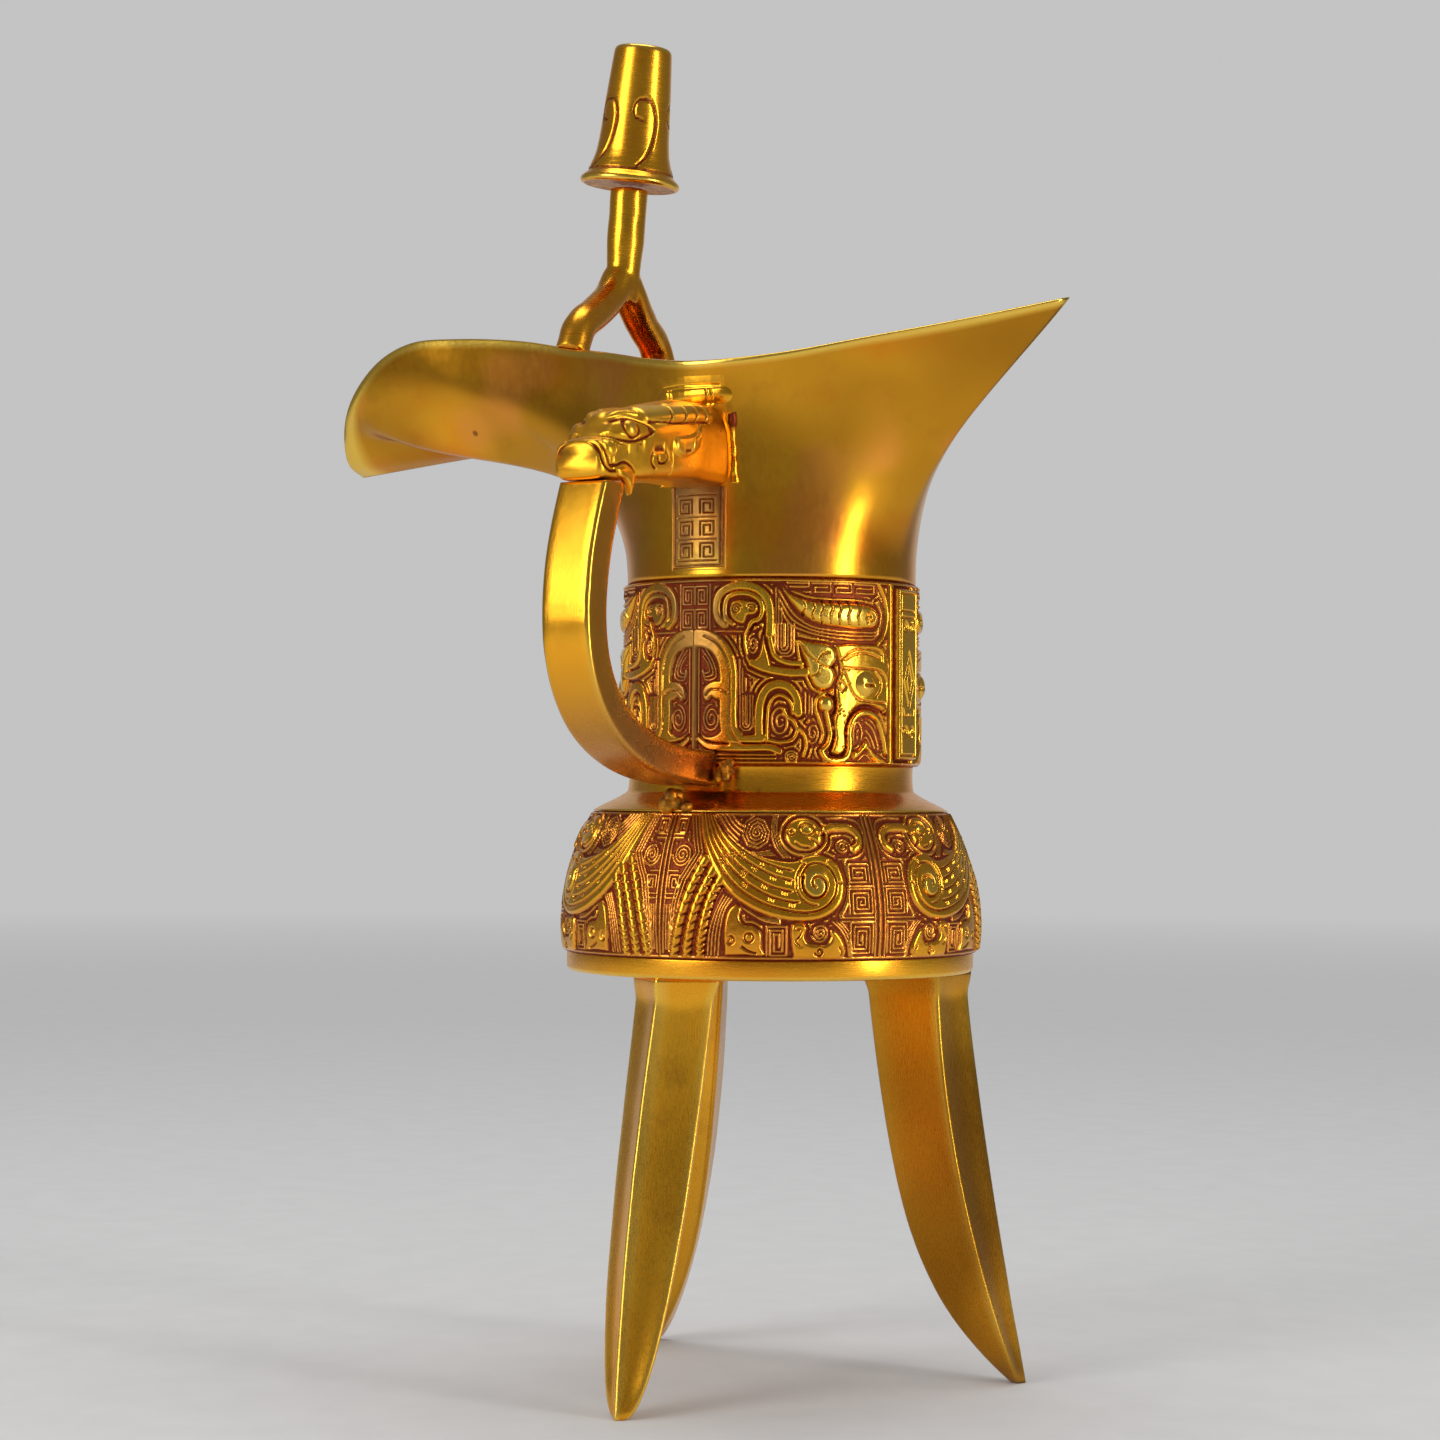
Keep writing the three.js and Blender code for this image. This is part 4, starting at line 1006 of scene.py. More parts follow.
def waist_ground(r, end):
    """Fine raised lines round the mask face, up to the quarter's end."""
    for y, half in ((34.0, 0.3), (2.35, 0.32), (3.1, 0.2), (3.75, 0.2)):
        r.stroke([(-1, y), (end + 1 if y > 30 or y < 3 else 15.5, y)], half, 0.8)
    r.stroke([(0, 4.6), (0, 24.3)], 0.55, 0.9)
    r.stroke([(0.98, 6.4), (0.98, 24.0)], 0.17, 0.6)
    r.stroke([(3.15, 25.5), (3.15, 33.3)], 0.17, 0.55)
    r.stroke([(-1, 25.1), (9.4, 25.1)], 0.17, 0.5)
    for y in (31.4, 27.4):
        r.stroke(square_spiral((1.35, y), 2.5, 3.1, 0.62), 0.17, 0.52)
    cup_lines(r, 17.0, 1.75, 26.4, 20.7, 4)
    for k in range(3):
        r.stroke([(15.5 + 0.5 * k, 32.6 - 1.7 * k), (15.5 + 0.5 * k, 26.4)], 0.16, 0.5)
    cup_lines(r, 10.15, 1.15, 13.9, 7.9, 3, 0.5)
    for k in range(3):
        r.stroke([(8.9 + 0.55 * k, 20.2 - 1.6 * k), (8.9 + 0.55 * k, 14.2 + 0.3 * k)], 0.16, 0.5)
    r.stroke(spiral((3.55, 10.0), 1.75, 0.3, 2.3, 90, 1, 1.42), 0.2, 0.55)
    for k in range(3):
        s = 1 - 0.27 * k
        line = [(1.45, 23.0), (3.2, 20.9), (4.3, 18.6), (4.3, 17.1), (2.4, 16.7), (1.6, 18.2)]
        r.band([(2.0 + (x - 2.0) * s, 18.9 + (y - 18.9) * s) for x, y in line], 0.17, 0.58)
    r.stroke(spiral((11.35, 22.8), 1.05, 0.2, 1.9, 90, 1, 1.75), 0.17, 0.55)
    r.stroke(spiral((16.4, 9.4), 1.95, 0.45, 1.7, 60, 1, 1.35), 0.2, 0.58)
    r.stroke(spiral((22.35, 7.6), 1.3, 0.3, 1.6, 200, 1, 1.5), 0.18, 0.55)
    for x, low, high in ((20.9, 11.0, 14.6), (21.6, 11.0, 14.2), (22.2, 10.8, 13.6)):
        r.stroke([(x, low), (x, high)], 0.17, 0.5)
    for x0, x1 in ((17.6, 21.5), (22.1, 25.7), (26.3, 30.0), (30.6, 35.2)):
        low = 32.0 if x0 > 20 else 32.9
        r.stroke([(x0, 33.5), (x1, 33.5), (x1, low), (x0 + 0.5, low), (x0 + 0.5, 32.8),
                  (x1 - 0.6, 32.8)], 0.17, 0.55)
    r.band([(30.6, 5.9), (30.5, 7.8), (31.2, 9.6), (32.3, 8.6), (32.3, 6.6)], 0.19, 0.55)
    r.band([(31.4, 6.5), (31.3, 7.8), (31.7, 8.3)], 0.17, 0.5)
    r.band([(33.3, 9.6), (34.9, 8.6), (36.1, 6.4), (36.5, 4.8)], 0.19, 0.55)
    r.band([(33.3, 8.2), (34.4, 7.2), (35.6, 5.0)], 0.17, 0.55)
    r.band([(31.6, 2.9), (33.2, 3.9), (34.8, 2.9)], 0.17, 0.5)


def waist_scrolls(r):
    """Curls, arch, blades and claws between the handle's axis and the ear."""
    # Double curl above the arch.
    r.band([(6.0, 26.2), (4.8, 27.3), (4.4, 29.5), (5.0, 31.5), (6.9, 32.7), (9.5, 33.0), (12.2, 32.3),
            (13.9, 30.6), (14.4, 28.0), (14.3, 24.5)], 0.78, 1.0, 0.35)
    r.band([(7.6, 26.3), (6.3, 27.3), (6.0, 29.2), (6.6, 31.0), (8.6, 31.65), (10.9, 31.4), (12.6, 30.3),
            (13.0, 28.4), (12.3, 27.1), (11.2, 26.8), (10.6, 25.9)], 0.46, 0.95, 0.3)
    r.plate([(7.0, 29.0), (7.4, 30.1), (8.5, 30.5), (10.2, 30.3), (11.7, 30.0), (12.2, 28.9), (11.6, 28.0),
             (10.3, 27.8), (9.6, 26.4), (8.2, 26.7), (7.2, 27.7)], 0.9, 0.35)
    r.cut(spiral((8.25, 29.0), 0.95, 0.15, 1.75, 20, 1), 0.2, 0.5)
    r.cut(spiral((11.05, 29.1), 0.8, 0.12, 1.5, 160, -1), 0.2, 0.5)
    r.curve([(10.7, 25.3), (11.6, 26.2), (12.9, 25.7), (13.3, 24.8)], 0.2, 0.4)
    # Blades and the bands that they widen into.
    r.band([(10.7, 26.0), (9.95, 24.6), (9.85, 22.6), (10.2, 21.2)], 0.34, 0.9)
    r.plate([(13.2, 24.6), (12.85, 22.5), (12.3, 20.8), (11.0, 20.1), (10.0, 21.1), (10.4, 19.6),
             (12.2, 18.5), (14.4, 18.9), (14.2, 20.6), (13.6, 22.8)], 1.0, 0.4)
    r.band([(11.2, 19.6), (13.4, 18.7), (16.0, 18.15), (18.4, 17.9), (21.0, 18.0)], 0.78, 1.0, 0.4)
    r.band([(14.3, 24.4), (14.7, 22.3), (15.4, 20.7), (17.2, 19.75), (20.2, 19.45)], 0.52, 0.95, 0.35)
    # Wide arch, its claws and the bands along the foot.
    r.band([(0.6, 24.0), (2.6, 23.75), (4.6, 22.7), (6.1, 20.7), (6.7, 18.2), (6.75, 14.0), (6.75, 9.5),
            (7.1, 7.7), (8.0, 6.6)], 1.68, 1.0, 0.4)
    r.curve([(2.2, 24.3), (4.4, 23.3), (6.2, 21.2), (7.05, 18.6), (7.1, 14.0), (7.1, 9.5), (7.6, 7.4),
             (8.7, 5.9)], 0.19, 0.42)
    r.plate([(1.3, 7.6), (2.2, 6.4), (4.4, 5.9), (9.0, 5.8), (13.4, 5.9), (13.6, 7.2), (12.6, 7.4),
             (11.0, 7.2), (9.2, 7.2), (8.2, 8.2), (6.0, 8.3), (4.6, 7.2), (2.8, 6.9)], 1.0, 0.3)
    r.band([(1.2, 6.4), (2.8, 5.3), (5.5, 4.95), (10.0, 4.9), (14.6, 4.9), (16.2, 4.3)], 0.66, 1.0, 0.35)
    r.curve([(1.0, 7.2), (2.4, 6.2), (5.0, 5.8), (9.0, 5.75), (13.2, 5.75)], 0.19, 0.45)
    r.plate([(2.0, 15.5), (3.3, 16.3), (5.6, 16.4), (5.6, 13.4), (4.7, 13.2), (3.6, 13.7), (2.8, 12.9),
             (2.1, 13.3), (1.75, 14.4)], 1.0, 0.35)
    r.curve([(2.5, 14.1), (3.4, 14.9), (5.4, 14.95), (6.7, 14.4)], 0.2, 0.45)
    r.band([(12.5, 6.7), (12.45, 10.0), (12.7, 12.8), (13.8, 15.0), (15.8, 15.9), (18.0, 15.3),
            (19.3, 13.5), (19.6, 11.0)], 0.86, 1.0, 0.4)
    r.band([(13.9, 6.2), (14.0, 9.8), (14.4, 12.6), (15.8, 14.0), (17.5, 13.6), (18.4, 12.3),
            (18.6, 11.0)], 0.36, 0.95, 0.3)
    r.band([(14.4, 6.2), (16.4, 5.9), (18.6, 6.4), (19.4, 8.0), (18.8, 9.6), (17.6, 10.3),
            (16.9, 11.6)], 0.42, 0.9)
    r.band([(19.7, 8.3), (20.8, 7.1), (21.1, 5.2), (20.6, 3.6)], 0.42, 0.95)
    r.disc((18.4, 3.4), 1.25, 0.85, 0.3)
    r.cut(spiral((18.4, 3.4), 0.95, 0.12, 1.9, 180, -1), 0.19, 0.5)


def waist_horn(r):
    """The ribbed horn over the face, with the lines and the bar that run beside it."""
    horn = [(16.2, 33.5), (17.2, 32.2), (20.5, 30.7), (25.0, 30.2), (33.0, 30.0), (35.5, 29.3),
            (36.3, 27.8), (35.5, 26.4), (33.0, 25.9), (27.0, 26.0), (23.0, 26.6), (20.0, 28.2), (17.5, 31.0)]
    r.plate(horn, 1.5, 1.7)
    for k, x in enumerate((20.5, 22.2, 23.9, 25.6, 27.3, 29.2, 31.3)):
        low = 26.5 + max(0, 2 - k) * 0.7
        r.curve([(x, 30.3), (x + 0.25, 29.2), (x - 0.25, 28.1), (x + 0.1, low)], 0.2, 0.6)
    r.cut(spiral((34.1, 27.8), 1.15, 0.3, 1.3, 230, -1), 0.26, 0.6)
    for k in range(3):
        d = 0.62 * k
        r.band([(15.9 + 0.1 * k, 32.2 - 1.4 * k), (18.4 - 0.3 * k, 28.4 - 0.9 * k), (21.6, 26.2 - d),
                (26.6, 25.3 - d), (33.0, 25.2 - d), (35.8, 25.5 - 0.9 * d), (36.9 + 0.45 * d, 27.2),
                (36.9 + 0.45 * d, 29.2), (35.6 + 0.6 * d, 30.5 + 0.3 * d)], 0.18, 0.6)
    r.band([(36.3, 33.9), (38.1, 31.2), (38.7, 28.2), (38.1, 25.2), (36.4, 23.4)], 0.45, 0.95)
    r.stroke([(39.9, 2.2), (39.9, 33.8)], 0.75, 0.95)


def waist_face(r):
    """Half a mask face with its eye and ear."""
    r.plate([(26.4, 22.9), (29.5, 23.1), (33.0, 23.1), (37.0, 22.9), (38.9, 21.0), (39.0, 17.0),
             (39.0, 13.5), (38.3, 11.2), (36.6, 11.9), (34.0, 12.6), (31.2, 12.2), (29.4, 10.4),
             (28.7, 8.0), (28.7, 4.9), (27.4, 3.8), (25.8, 4.3), (26.5, 6.6), (26.2, 9.4), (26.9, 11.6),
             (26.8, 14.4), (27.0, 16.4), (27.7, 18.2), (27.3, 20.3)], 1.05, 0.6)
    r.curve([(27.7, 20.3), (29.5, 21.7), (32.2, 22.35), (35.4, 22.25), (36.9, 21.7),
             (37.1, 20.2)], 0.22, 0.42)
    r.curve([(28.4, 20.3), (30.4, 21.2), (33.0, 21.55), (36.3, 20.9)], 0.22, 0.42)
    r.curve([(28.0, 18.95), (31.0, 18.9), (34.5, 18.85), (36.8, 18.4), (38.1, 17.2), (38.5, 15.2),
             (38.3, 12.6), (37.3, 11.3)], 0.24, 0.5)
    r.curve([(28.2, 18.8), (29.0, 16.9), (29.9, 15.0), (31.4, 13.6), (34.0, 13.1), (38.0, 12.9)], 0.24, 0.5)
    r.curve([(35.2, 18.3), (36.5, 17.0), (36.5, 15.3), (35.3, 13.9)], 0.22, 0.42)
    r.disc((32.8, 16.2), 2.35, 2.3, 2.2)
    r.cut([(32.5, 16.0), (34.9, 16.0)], 0.3, 0.95)
    r.cut([(27.0, 15.8), (27.8, 16.7), (28.7, 15.8), (27.8, 14.7), (27.0, 15.8)], 0.2, 0.38)
    rng = np.random.RandomState(7)
    for x, y in rng.rand(26, 2) * (4.5, 15.0) + (26.4, 4.2):
        r.cut([(x, y), (x + 0.05, y + 0.05)], 0.22, 0.22)
    ear = [(19.4, 23.8), (22.0, 23.3), (25.5, 22.9), (26.7, 21.8), (26.9, 20.3), (26.1, 19.1),
           (26.6, 18.0), (26.5, 16.6), (25.5, 15.3), (24.0, 15.0), (22.9, 15.4), (21.9, 16.8),
           (21.2, 19.0), (20.3, 21.5)]
    r.plate(ear, 1.5, 1.2)
    r.curve([(20.2, 22.8), (21.3, 21.3), (23.0, 20.0), (23.9, 21.2), (25.2, 21.6)], 0.24, 0.5)
    r.curve([(23.0, 20.0), (24.4, 19.1), (26.3, 19.0)], 0.24, 0.5)
    r.curve([(23.5, 19.3), (23.2, 18.0), (22.1, 17.4)], 0.22, 0.45)
    r.band([(19.3, 23.4), (19.8, 20.4), (21.0, 17.4), (22.3, 15.2), (24.0, 14.5)], 0.3, 0.9)
    r.disc((24.9, 12.6), 1.5, 1.8, 1.4)
    r.curve([(25.5, 14.3), (26.7, 13.5), (26.9, 11.8), (25.8, 10.5)], 0.22, 0.6)
    r.band([(24.8, 11.6), (25.3, 9.6), (25.7, 7.4), (25.2, 5.6), (24.0, 4.5)], 0.5, 1.1)
    r.band([(24.6, 14.5), (23.1, 13.5), (22.9, 11.6), (23.8, 9.4), (24.3, 7.4), (23.8, 5.9)], 0.36, 0.9)
    r.curve([(26.3, 10.0), (26.6, 7.4), (26.2, 5.4), (25.6, 4.0), (26.4, 3.5), (28.2, 3.7), (29.0, 5.2),
             (28.9, 8.4)], 0.22, 0.5)
    r.band([(24.0, 4.4), (25.0, 3.0), (27.2, 2.8), (29.0, 3.4), (29.7, 5.4), (29.6, 8.0), (30.9, 10.5),
            (33.5, 11.2), (36.0, 10.2), (37.5, 7.6), (38.4, 4.4)], 0.56, 1.15)
    r.curve([(28.6, 8.2), (29.6, 10.2), (31.4, 11.8), (34.0, 12.2), (36.4, 11.4)], 0.22, 0.5)
    r.plate([(30.1, 4.3), (31.6, 4.7), (33.2, 6.3), (34.4, 4.9), (36.6, 3.6), (38.8, 2.4), (36.4, 2.5),
             (34.4, 3.5), (33.2, 4.8), (31.8, 3.7), (30.4, 3.0)], 1.1, 0.5)


def waist_half_mask(p):
    """One quarter of the waist: from the handle's axis (x = 0) to the tail's axis; y is up."""
    r = Relief(p)
    waist_ground(r, WAIST_QUARTER)
    r.lines[:] = r.away
    r.away[:] = 9.0
    waist_scrolls(r)
    waist_horn(r)
    waist_face(r)
    return r


def make_waist():
    """The waist frieze in four quarters, each with half a mask face."""
    end = WAIST_QUARTER
    u, v = np.linspace(0, end, 270), np.linspace(0, WAIST_TOP - SHOULDER_TOP, 216)
    grid_u, grid_v = np.meshgrid(u, v)
    drawn_from, stretch = 2, 1.04
    flat = np.column_stack([grid_u.ravel(), grid_v.ravel() / stretch + drawn_from])
    relief = waist_half_mask(flat)
    height = relief.finished(0.66, 0.44, 0.84, (3.0, 2.9)).reshape(grid_u.shape)
    edge = smooth(0, 0.5, np.minimum(grid_v, v[-1] - grid_v))
    height = height * (0.25 + 0.75 * edge)
    rows = [(WAIST_RADIUS - 0.5, SHOULDER_TOP + h, 1, 0) for h in v]
    inner = [(WAIST_RADIUS - WALL, WAIST_TOP), (WAIST_RADIUS - WALL, SHOULDER_TOP)]
    for name, middle, way in (("waist_near_tail", -90, 1), ("waist_near_spout", -90, -1),
                              ("waist_far_tail", 90, -1), ("waist_far_spout", 90, 1)):
        angles = math.radians(middle) + way * u / WAIST_RADIUS
        x = np.cos(angles)[None, :] * WAIST_RADIUS + 0 * grid_v
        y = np.sin(angles)[None, :] * WAIST_RADIUS + 0 * grid_v
        spots = np.stack([x, y, grid_v + SHOULDER_TOP], 2).reshape(-1, 3)
        uneven = 0.035 * value_noise(spots, 1.9, 51) + 0.012 * value_noise(spots, 0.8, 52)
        uneven = uneven.reshape(grid_u.shape)
        h = height + uneven * smooth(0, 0.4, height + 0.2) * edge
        near = 1.0 if middle < 0 else 0.35
        cloud = value_noise(spots, 5.0, 53).reshape(grid_u.shape)
        worn = smooth(9, 1, grid_u + 4 * cloud - 0.12 * (grid_v - 10))
        patina = near * 0.85 * worn
        dark = np.clip(smooth(0.30, 0.04, h) * 0.95, 0, 1)
        wear = smooth(0.6, 0.95, h) * (1 - patina)
        marks = {"dark": dark, "wear": np.clip(0.7 * wear * (1 - patina), 0, 1), "aged": patina,
                 "ember": smooth(0.62, 0.25, h)}
        sector(name, angles, rows, inner, h, marks, RELIEF, ["waist_frieze"])


def flange_relief(p, width, height):
    """Cut lines of a raised strip: its frame, lozenges and spirals."""
    r = Relief(p)
    half = width / 2
    r.plate([(-half + 0.1, 0.1), (half - 0.1, 0.1), (half - 0.1, height - 0.1),
             (-half + 0.1, height - 0.1)], 1.0, 0.5, False)
    r.cut([(-half + 0.9, 1.0), (-half + 0.9, height - 1.0), (half - 0.9, height - 1.0), (half - 0.9, 1.0),
           (-half + 0.9, 1.0)], 0.28, 0.4)
    for y in (height - 4.2, height - 5.4):
        r.cut([(-half + 0.9, y), (half - 0.9, y)], 0.24, 0.4)
    r.cut([(0, 9.6), (2.0, 14.8), (0, 20.0), (-2.0, 14.8), (0, 9.6)], 0.28, 0.42)
    r.cut([(0, 12.2), (0.95, 14.8), (0, 17.4), (-0.95, 14.8), (0, 12.2)], 0.24, 0.42)
    for way in (-1, 1):
        r.cut(spiral((way * 1.35, 24.4), 1.05, 0.2, 1.5, 90, way), 0.24, 0.42)
        r.cut(spiral((way * 1.35, 5.4), 1.05, 0.2, 1.5, -90, -way), 0.24, 0.42)
        r.curve([(way * 0.4, 8.4), (way * 1.4, 8.0), (way * 2.0, 9.4)], 0.22, 0.4)
    return r


def make_flanges():
    """The raised strips on the waist, below the tail and below the spout."""
    width, low, high, thick = 7.3, SHOULDER_TOP + 1, WAIST_TOP - 1, 1.3
    u, v = np.linspace(-width / 2, width / 2, 60), np.linspace(0, high - low, 230)
    grid_u, grid_v = np.meshgrid(u, v)
    relief = flange_relief(np.column_stack([grid_u.ravel(), grid_v.ravel()]), width, high - low)
    height = relief.height * thick - relief.cuts
    height = height.reshape(grid_u.shape)
    rows = [(WAIST_RADIUS, low + h, 1, 0) for h in v]
    inner = [(WAIST_RADIUS - 0.9, high), (WAIST_RADIUS - 0.9, low)]
    for name, middle in (("tail_strip", 0), ("spout_strip", 180)):
        angles = math.radians(middle) + u / WAIST_RADIUS
        x = np.cos(angles)[None, :] * 28 + 0 * grid_v
        y = np.sin(angles)[None, :] * 28 + 0 * grid_v
        spots = np.stack([x, y, grid_v], 2)
        uneven = 0.03 * value_noise(spots.reshape(-1, 3), 2.4, 55).reshape(grid_u.shape)
        h = height + uneven * smooth(0.2, 1.0, height) - 0.05
        dark = np.clip(smooth(0.98, 0.7, h) * 0.9, 0, 1)
        wear = smooth(1.1, 1.28, h)
        sector(name, angles, rows, inner, h, {"dark": dark, "wear": 0.4 * wear}, RELIEF,
               ["tail_flange" if middle == 0 else "spout_flange"])


def oval(centre, across, up, count=28):
    """Points round an oval."""
    a = np.linspace(0, 2 * np.pi, count, endpoint=False)
    return np.column_stack([centre[0] + across * np.cos(a), centre[1] + up * np.sin(a)])


def bird_ground(r):
    """Fine raised lines round the bird."""
    r.stroke([(-1, 24.75), (BIRD_SPAN + 1, 24.75)], 0.2, 0.7)
    r.stroke([(-1, 1.75), (BIRD_SPAN + 1, 1.75)], 0.25, 0.75)
    # Lozenge between the tails.
    r.stroke([(0, 2), (0, 25)], 0.2, 0.6)
    r.stroke([(0.85, 25), (0.85, 10.5), (0.6, 2.4)], 0.18, 0.58)
    for k in range(3):
        d = 0.68 * k
        r.stroke([(5.0 - d, 25), (7.3 - d, 18.5), (5.9 - d, 16.2), (4.6 - d, 14.2), (3.5 - d * 0.8, 10.5),
                  (2.2 - d * 0.35, 2.6)], 0.19, 0.6)
    r.stroke(spiral((3.3, 18.2), 1.95, 0.15, 2.9, 180, 1), 0.19, 0.6)
    r.stroke(square_spiral((2.2, 22.9), 1.9, 2.2, 0.6), 0.18, 0.58)
    r.stroke(square_spiral((2.35, 13.9), 1.9, 2.0, 0.6), 0.18, 0.58)
    for y in (20.9, 21.5, 15.6, 11.9, 11.2):
        r.stroke([(0.9, y), (3.0, y)], 0.17, 0.55)
    for k in range(2):
        r.stroke([(1.35 + 0.55 * k, 10.2), (1.15 + 0.4 * k, 3.0)], 0.17, 0.5)
    # Above the wing and round the head.
    r.stroke(spiral((17.3, 21.9), 2.85, 0.15, 4.3, 100, 1), 0.18, 0.58)
    for k in range(4):
        r.band([(9.2 + 0.95 * k, 24.9), (11.6 + 0.7 * k, 22.4 + 0.3 * k),
                (13.9 + 0.3 * k, 20.6 + 0.75 * k)], 0.18, 0.58)
    for k in range(3):
        r.band([(20.6 + 0.35 * k, 24.7), (20.2 + 0.45 * k, 22.0), (20.9 + 0.5 * k, 19.6),
                (22.4 + 0.5 * k, 17.9)], 0.18, 0.58)
        r.band([(15.2 + 1.6 * k, 18.9 - 0.35 * k), (17.6 + 1.0 * k, 18.6 - 0.2 * k),
                (19.8 + 0.4 * k, 18.9 - 0.3 * k)], 0.17, 0.5)
    r.band([(31.2, 24.1), (35.2, 24.2), (37.7, 23.4), (38.4, 21.3), (37.8, 19.0), (36.1, 17.9),
            (32.4, 17.6)], 0.18, 0.6)
    r.stroke(spiral((33.6, 19.6), 1.5, 0.2, 2.2, 0, 1, 0.8), 0.18, 0.58)
    # Columns of square spirals beside the beaks' axis.
    for x in (39.75, 38.85):
        r.stroke([(x, 2), (x, 24.6)], 0.18, 0.6)
    r.stroke(square_spiral((36.2, 15.4), 3.9, 2.9, 0.66, -1), 0.19, 0.6)
    r.stroke(square_spiral((36.1, 10.9), 4.3, 3.9, 0.66, 1), 0.19, 0.6)
    r.stroke(square_spiral((36.2, 5.0), 4.3, 4.9, 0.66, -1), 0.19, 0.6)
    for y in (13.3, 8.3, 7.7):
        r.stroke([(33.6 if y > 9 else 32.2, y), (38.8, y)], 0.17, 0.55)
    for k in range(3):
        r.band([(33.9 - 0.3 * k, 17.4), (34.0, 14.0), (33.7 - 0.2 * k, 10.6),
                (32.6 - 0.3 * k, 8.6)], 0.17, 0.5)
        r.band([(30.7 + 0.7 * k, 7.7), (32.5 + 0.6 * k, 6.0), (33.6 + 0.35 * k, 3.8),
                (33.8 + 0.3 * k, 2.0)], 0.17, 0.52)
    # Below the wing.
    for k in range(4):
        r.band([(9.0 + 0.62 * k, 2.2), (9.5 + 0.6 * k, 6.2), (10.6 + 0.5 * k, 9.4),
                (11.9 + 0.5 * k, 11.9 - 0.2 * k)], 0.17, 0.52)
    for k in range(3):
        r.band([(14.9 + 0.7 * k, 10.0 - 0.3 * k), (17.6 + 0.5 * k, 8.5 - 0.3 * k),
                (21.5, 7.9 - 0.28 * k)], 0.17, 0.5)
    r.stroke(square_spiral((21.0, 4.6), 3.4, 4.6, 0.62), 0.18, 0.6)
    r.stroke(spiral((28.5, 5.9), 1.55, 0.15, 2.4, 200, 1), 0.2, 0.65)


def heading(path, m):
    """Direction of the path at its point m."""
    way = path[m + 1] - path[m - 1]
    return way / np.linalg.norm(way)


def bird_wing(r):
    """The long wing with its feather grooves, and the scroll at its root."""
    r.plate([(5.2, 25.3), (7.2, 20.2), (9.7, 15.7), (13.1, 11.9), (17.8, 9.2), (22.0, 8.0), (25.5, 7.7),
             (29.3, 8.3), (32.2, 10.3), (33.2, 13.5), (32.2, 16.8), (29.2, 18.3), (26.3, 18.0), (24.2, 17.3),
             (20.0, 17.7), (16.0, 18.9), (12.4, 21.2), (9.6, 23.6), (8.3, 25.3)], 1.2, 0.7)
    grooves = [
        [(5.9, 25.2), (8.2, 20.2), (11.0, 16.2), (14.4, 12.9), (18.8, 10.5), (23.0, 9.4), (26.5, 9.1),
         (29.4, 9.9), (31.2, 11.7), (31.7, 13.8), (30.8, 15.9), (28.8, 16.9), (26.6, 16.5), (25.4, 14.9)],
        [(6.5, 25.2), (9.2, 20.2), (12.2, 16.7), (15.8, 13.8), (19.6, 11.8), (22.8, 10.9), (24.8, 10.7)],
        [(7.0, 25.1), (10.0, 20.5), (13.2, 17.3), (16.8, 14.8), (20.4, 13.1), (23.6, 12.4)],
        [(7.5, 25.1), (10.8, 20.9), (14.4, 18.0), (18.0, 16.0), (21.2, 14.7), (23.6, 14.2)],
        [(8.0, 25.0), (11.8, 21.2), (15.6, 18.6), (19.0, 17.0), (21.8, 16.1), (23.8, 15.7)],
    ]
    for j, line in enumerate(grooves):
        r.curve(line, 0.24, 0.55, 60)
        if j == 0:
            continue
        path = catmull(line, 36)
        for m in range(9 + j, 34, 7):
            way = heading(path, m)
            side = np.array([way[1], -way[0]])
            for step in (0, 0.55):
                foot = path[m] + way * step + side * 0.2
                r.cut([foot, foot + side * 0.62], 0.16, 0.34)
    # Scroll at the wing's root, and the dome inside it.
    r.cut(spiral((28.0, 13.6), 3.75, 3.3, 0.42, 120, 1), 0.22, 0.5)
    r.disc((27.9, 13.5), 3.0, 1.75, 2.4)
    r.cut(spiral((28.1, 13.5), 2.7, 0.5, 1.25, 150, 1), 0.28, 0.7)
    for a in (0.05, 1.0, 2.2):
        c, s = math.cos(a), math.sin(a)
        r.cut([(28.0 + 3.9 * c, 13.6 + 3.8 * s), (28.0 + 4.7 * c, 13.6 + 4.5 * s)], 0.17, 0.4)


def bird_tail(r):
    """Three roped plumes."""
    plumes = [
        [(7.9, 17.5), (6.6, 15.0), (5.3, 12.2), (4.1, 8.6), (3.2, 5.0), (2.7, 2.4)],
        [(9.6, 16.0), (8.2, 13.2), (6.9, 10.4), (6.0, 7.4), (5.4, 4.6), (5.1, 2.4)],
        [(11.2, 14.5), (9.8, 12.2), (8.8, 9.4), (8.1, 6.4), (7.7, 4.2), (7.6, 2.4)],
    ]
    for line in plumes:
        path = catmull(line, 41)
        r.stroke(path, 0.86, 1.2, 0.8)
        for m in range(3, 40, 4):
            way = heading(path, m)
            side = np.array([-way[1], way[0]])
            r.cut([path[m] + side * 0.9, path[m] + side * 0.25 + way * 0.35], 0.22, 0.5)
            r.cut([path[m] - side * 0.9, path[m] - side * 0.45 + way * 0.2], 0.18, 0.35)


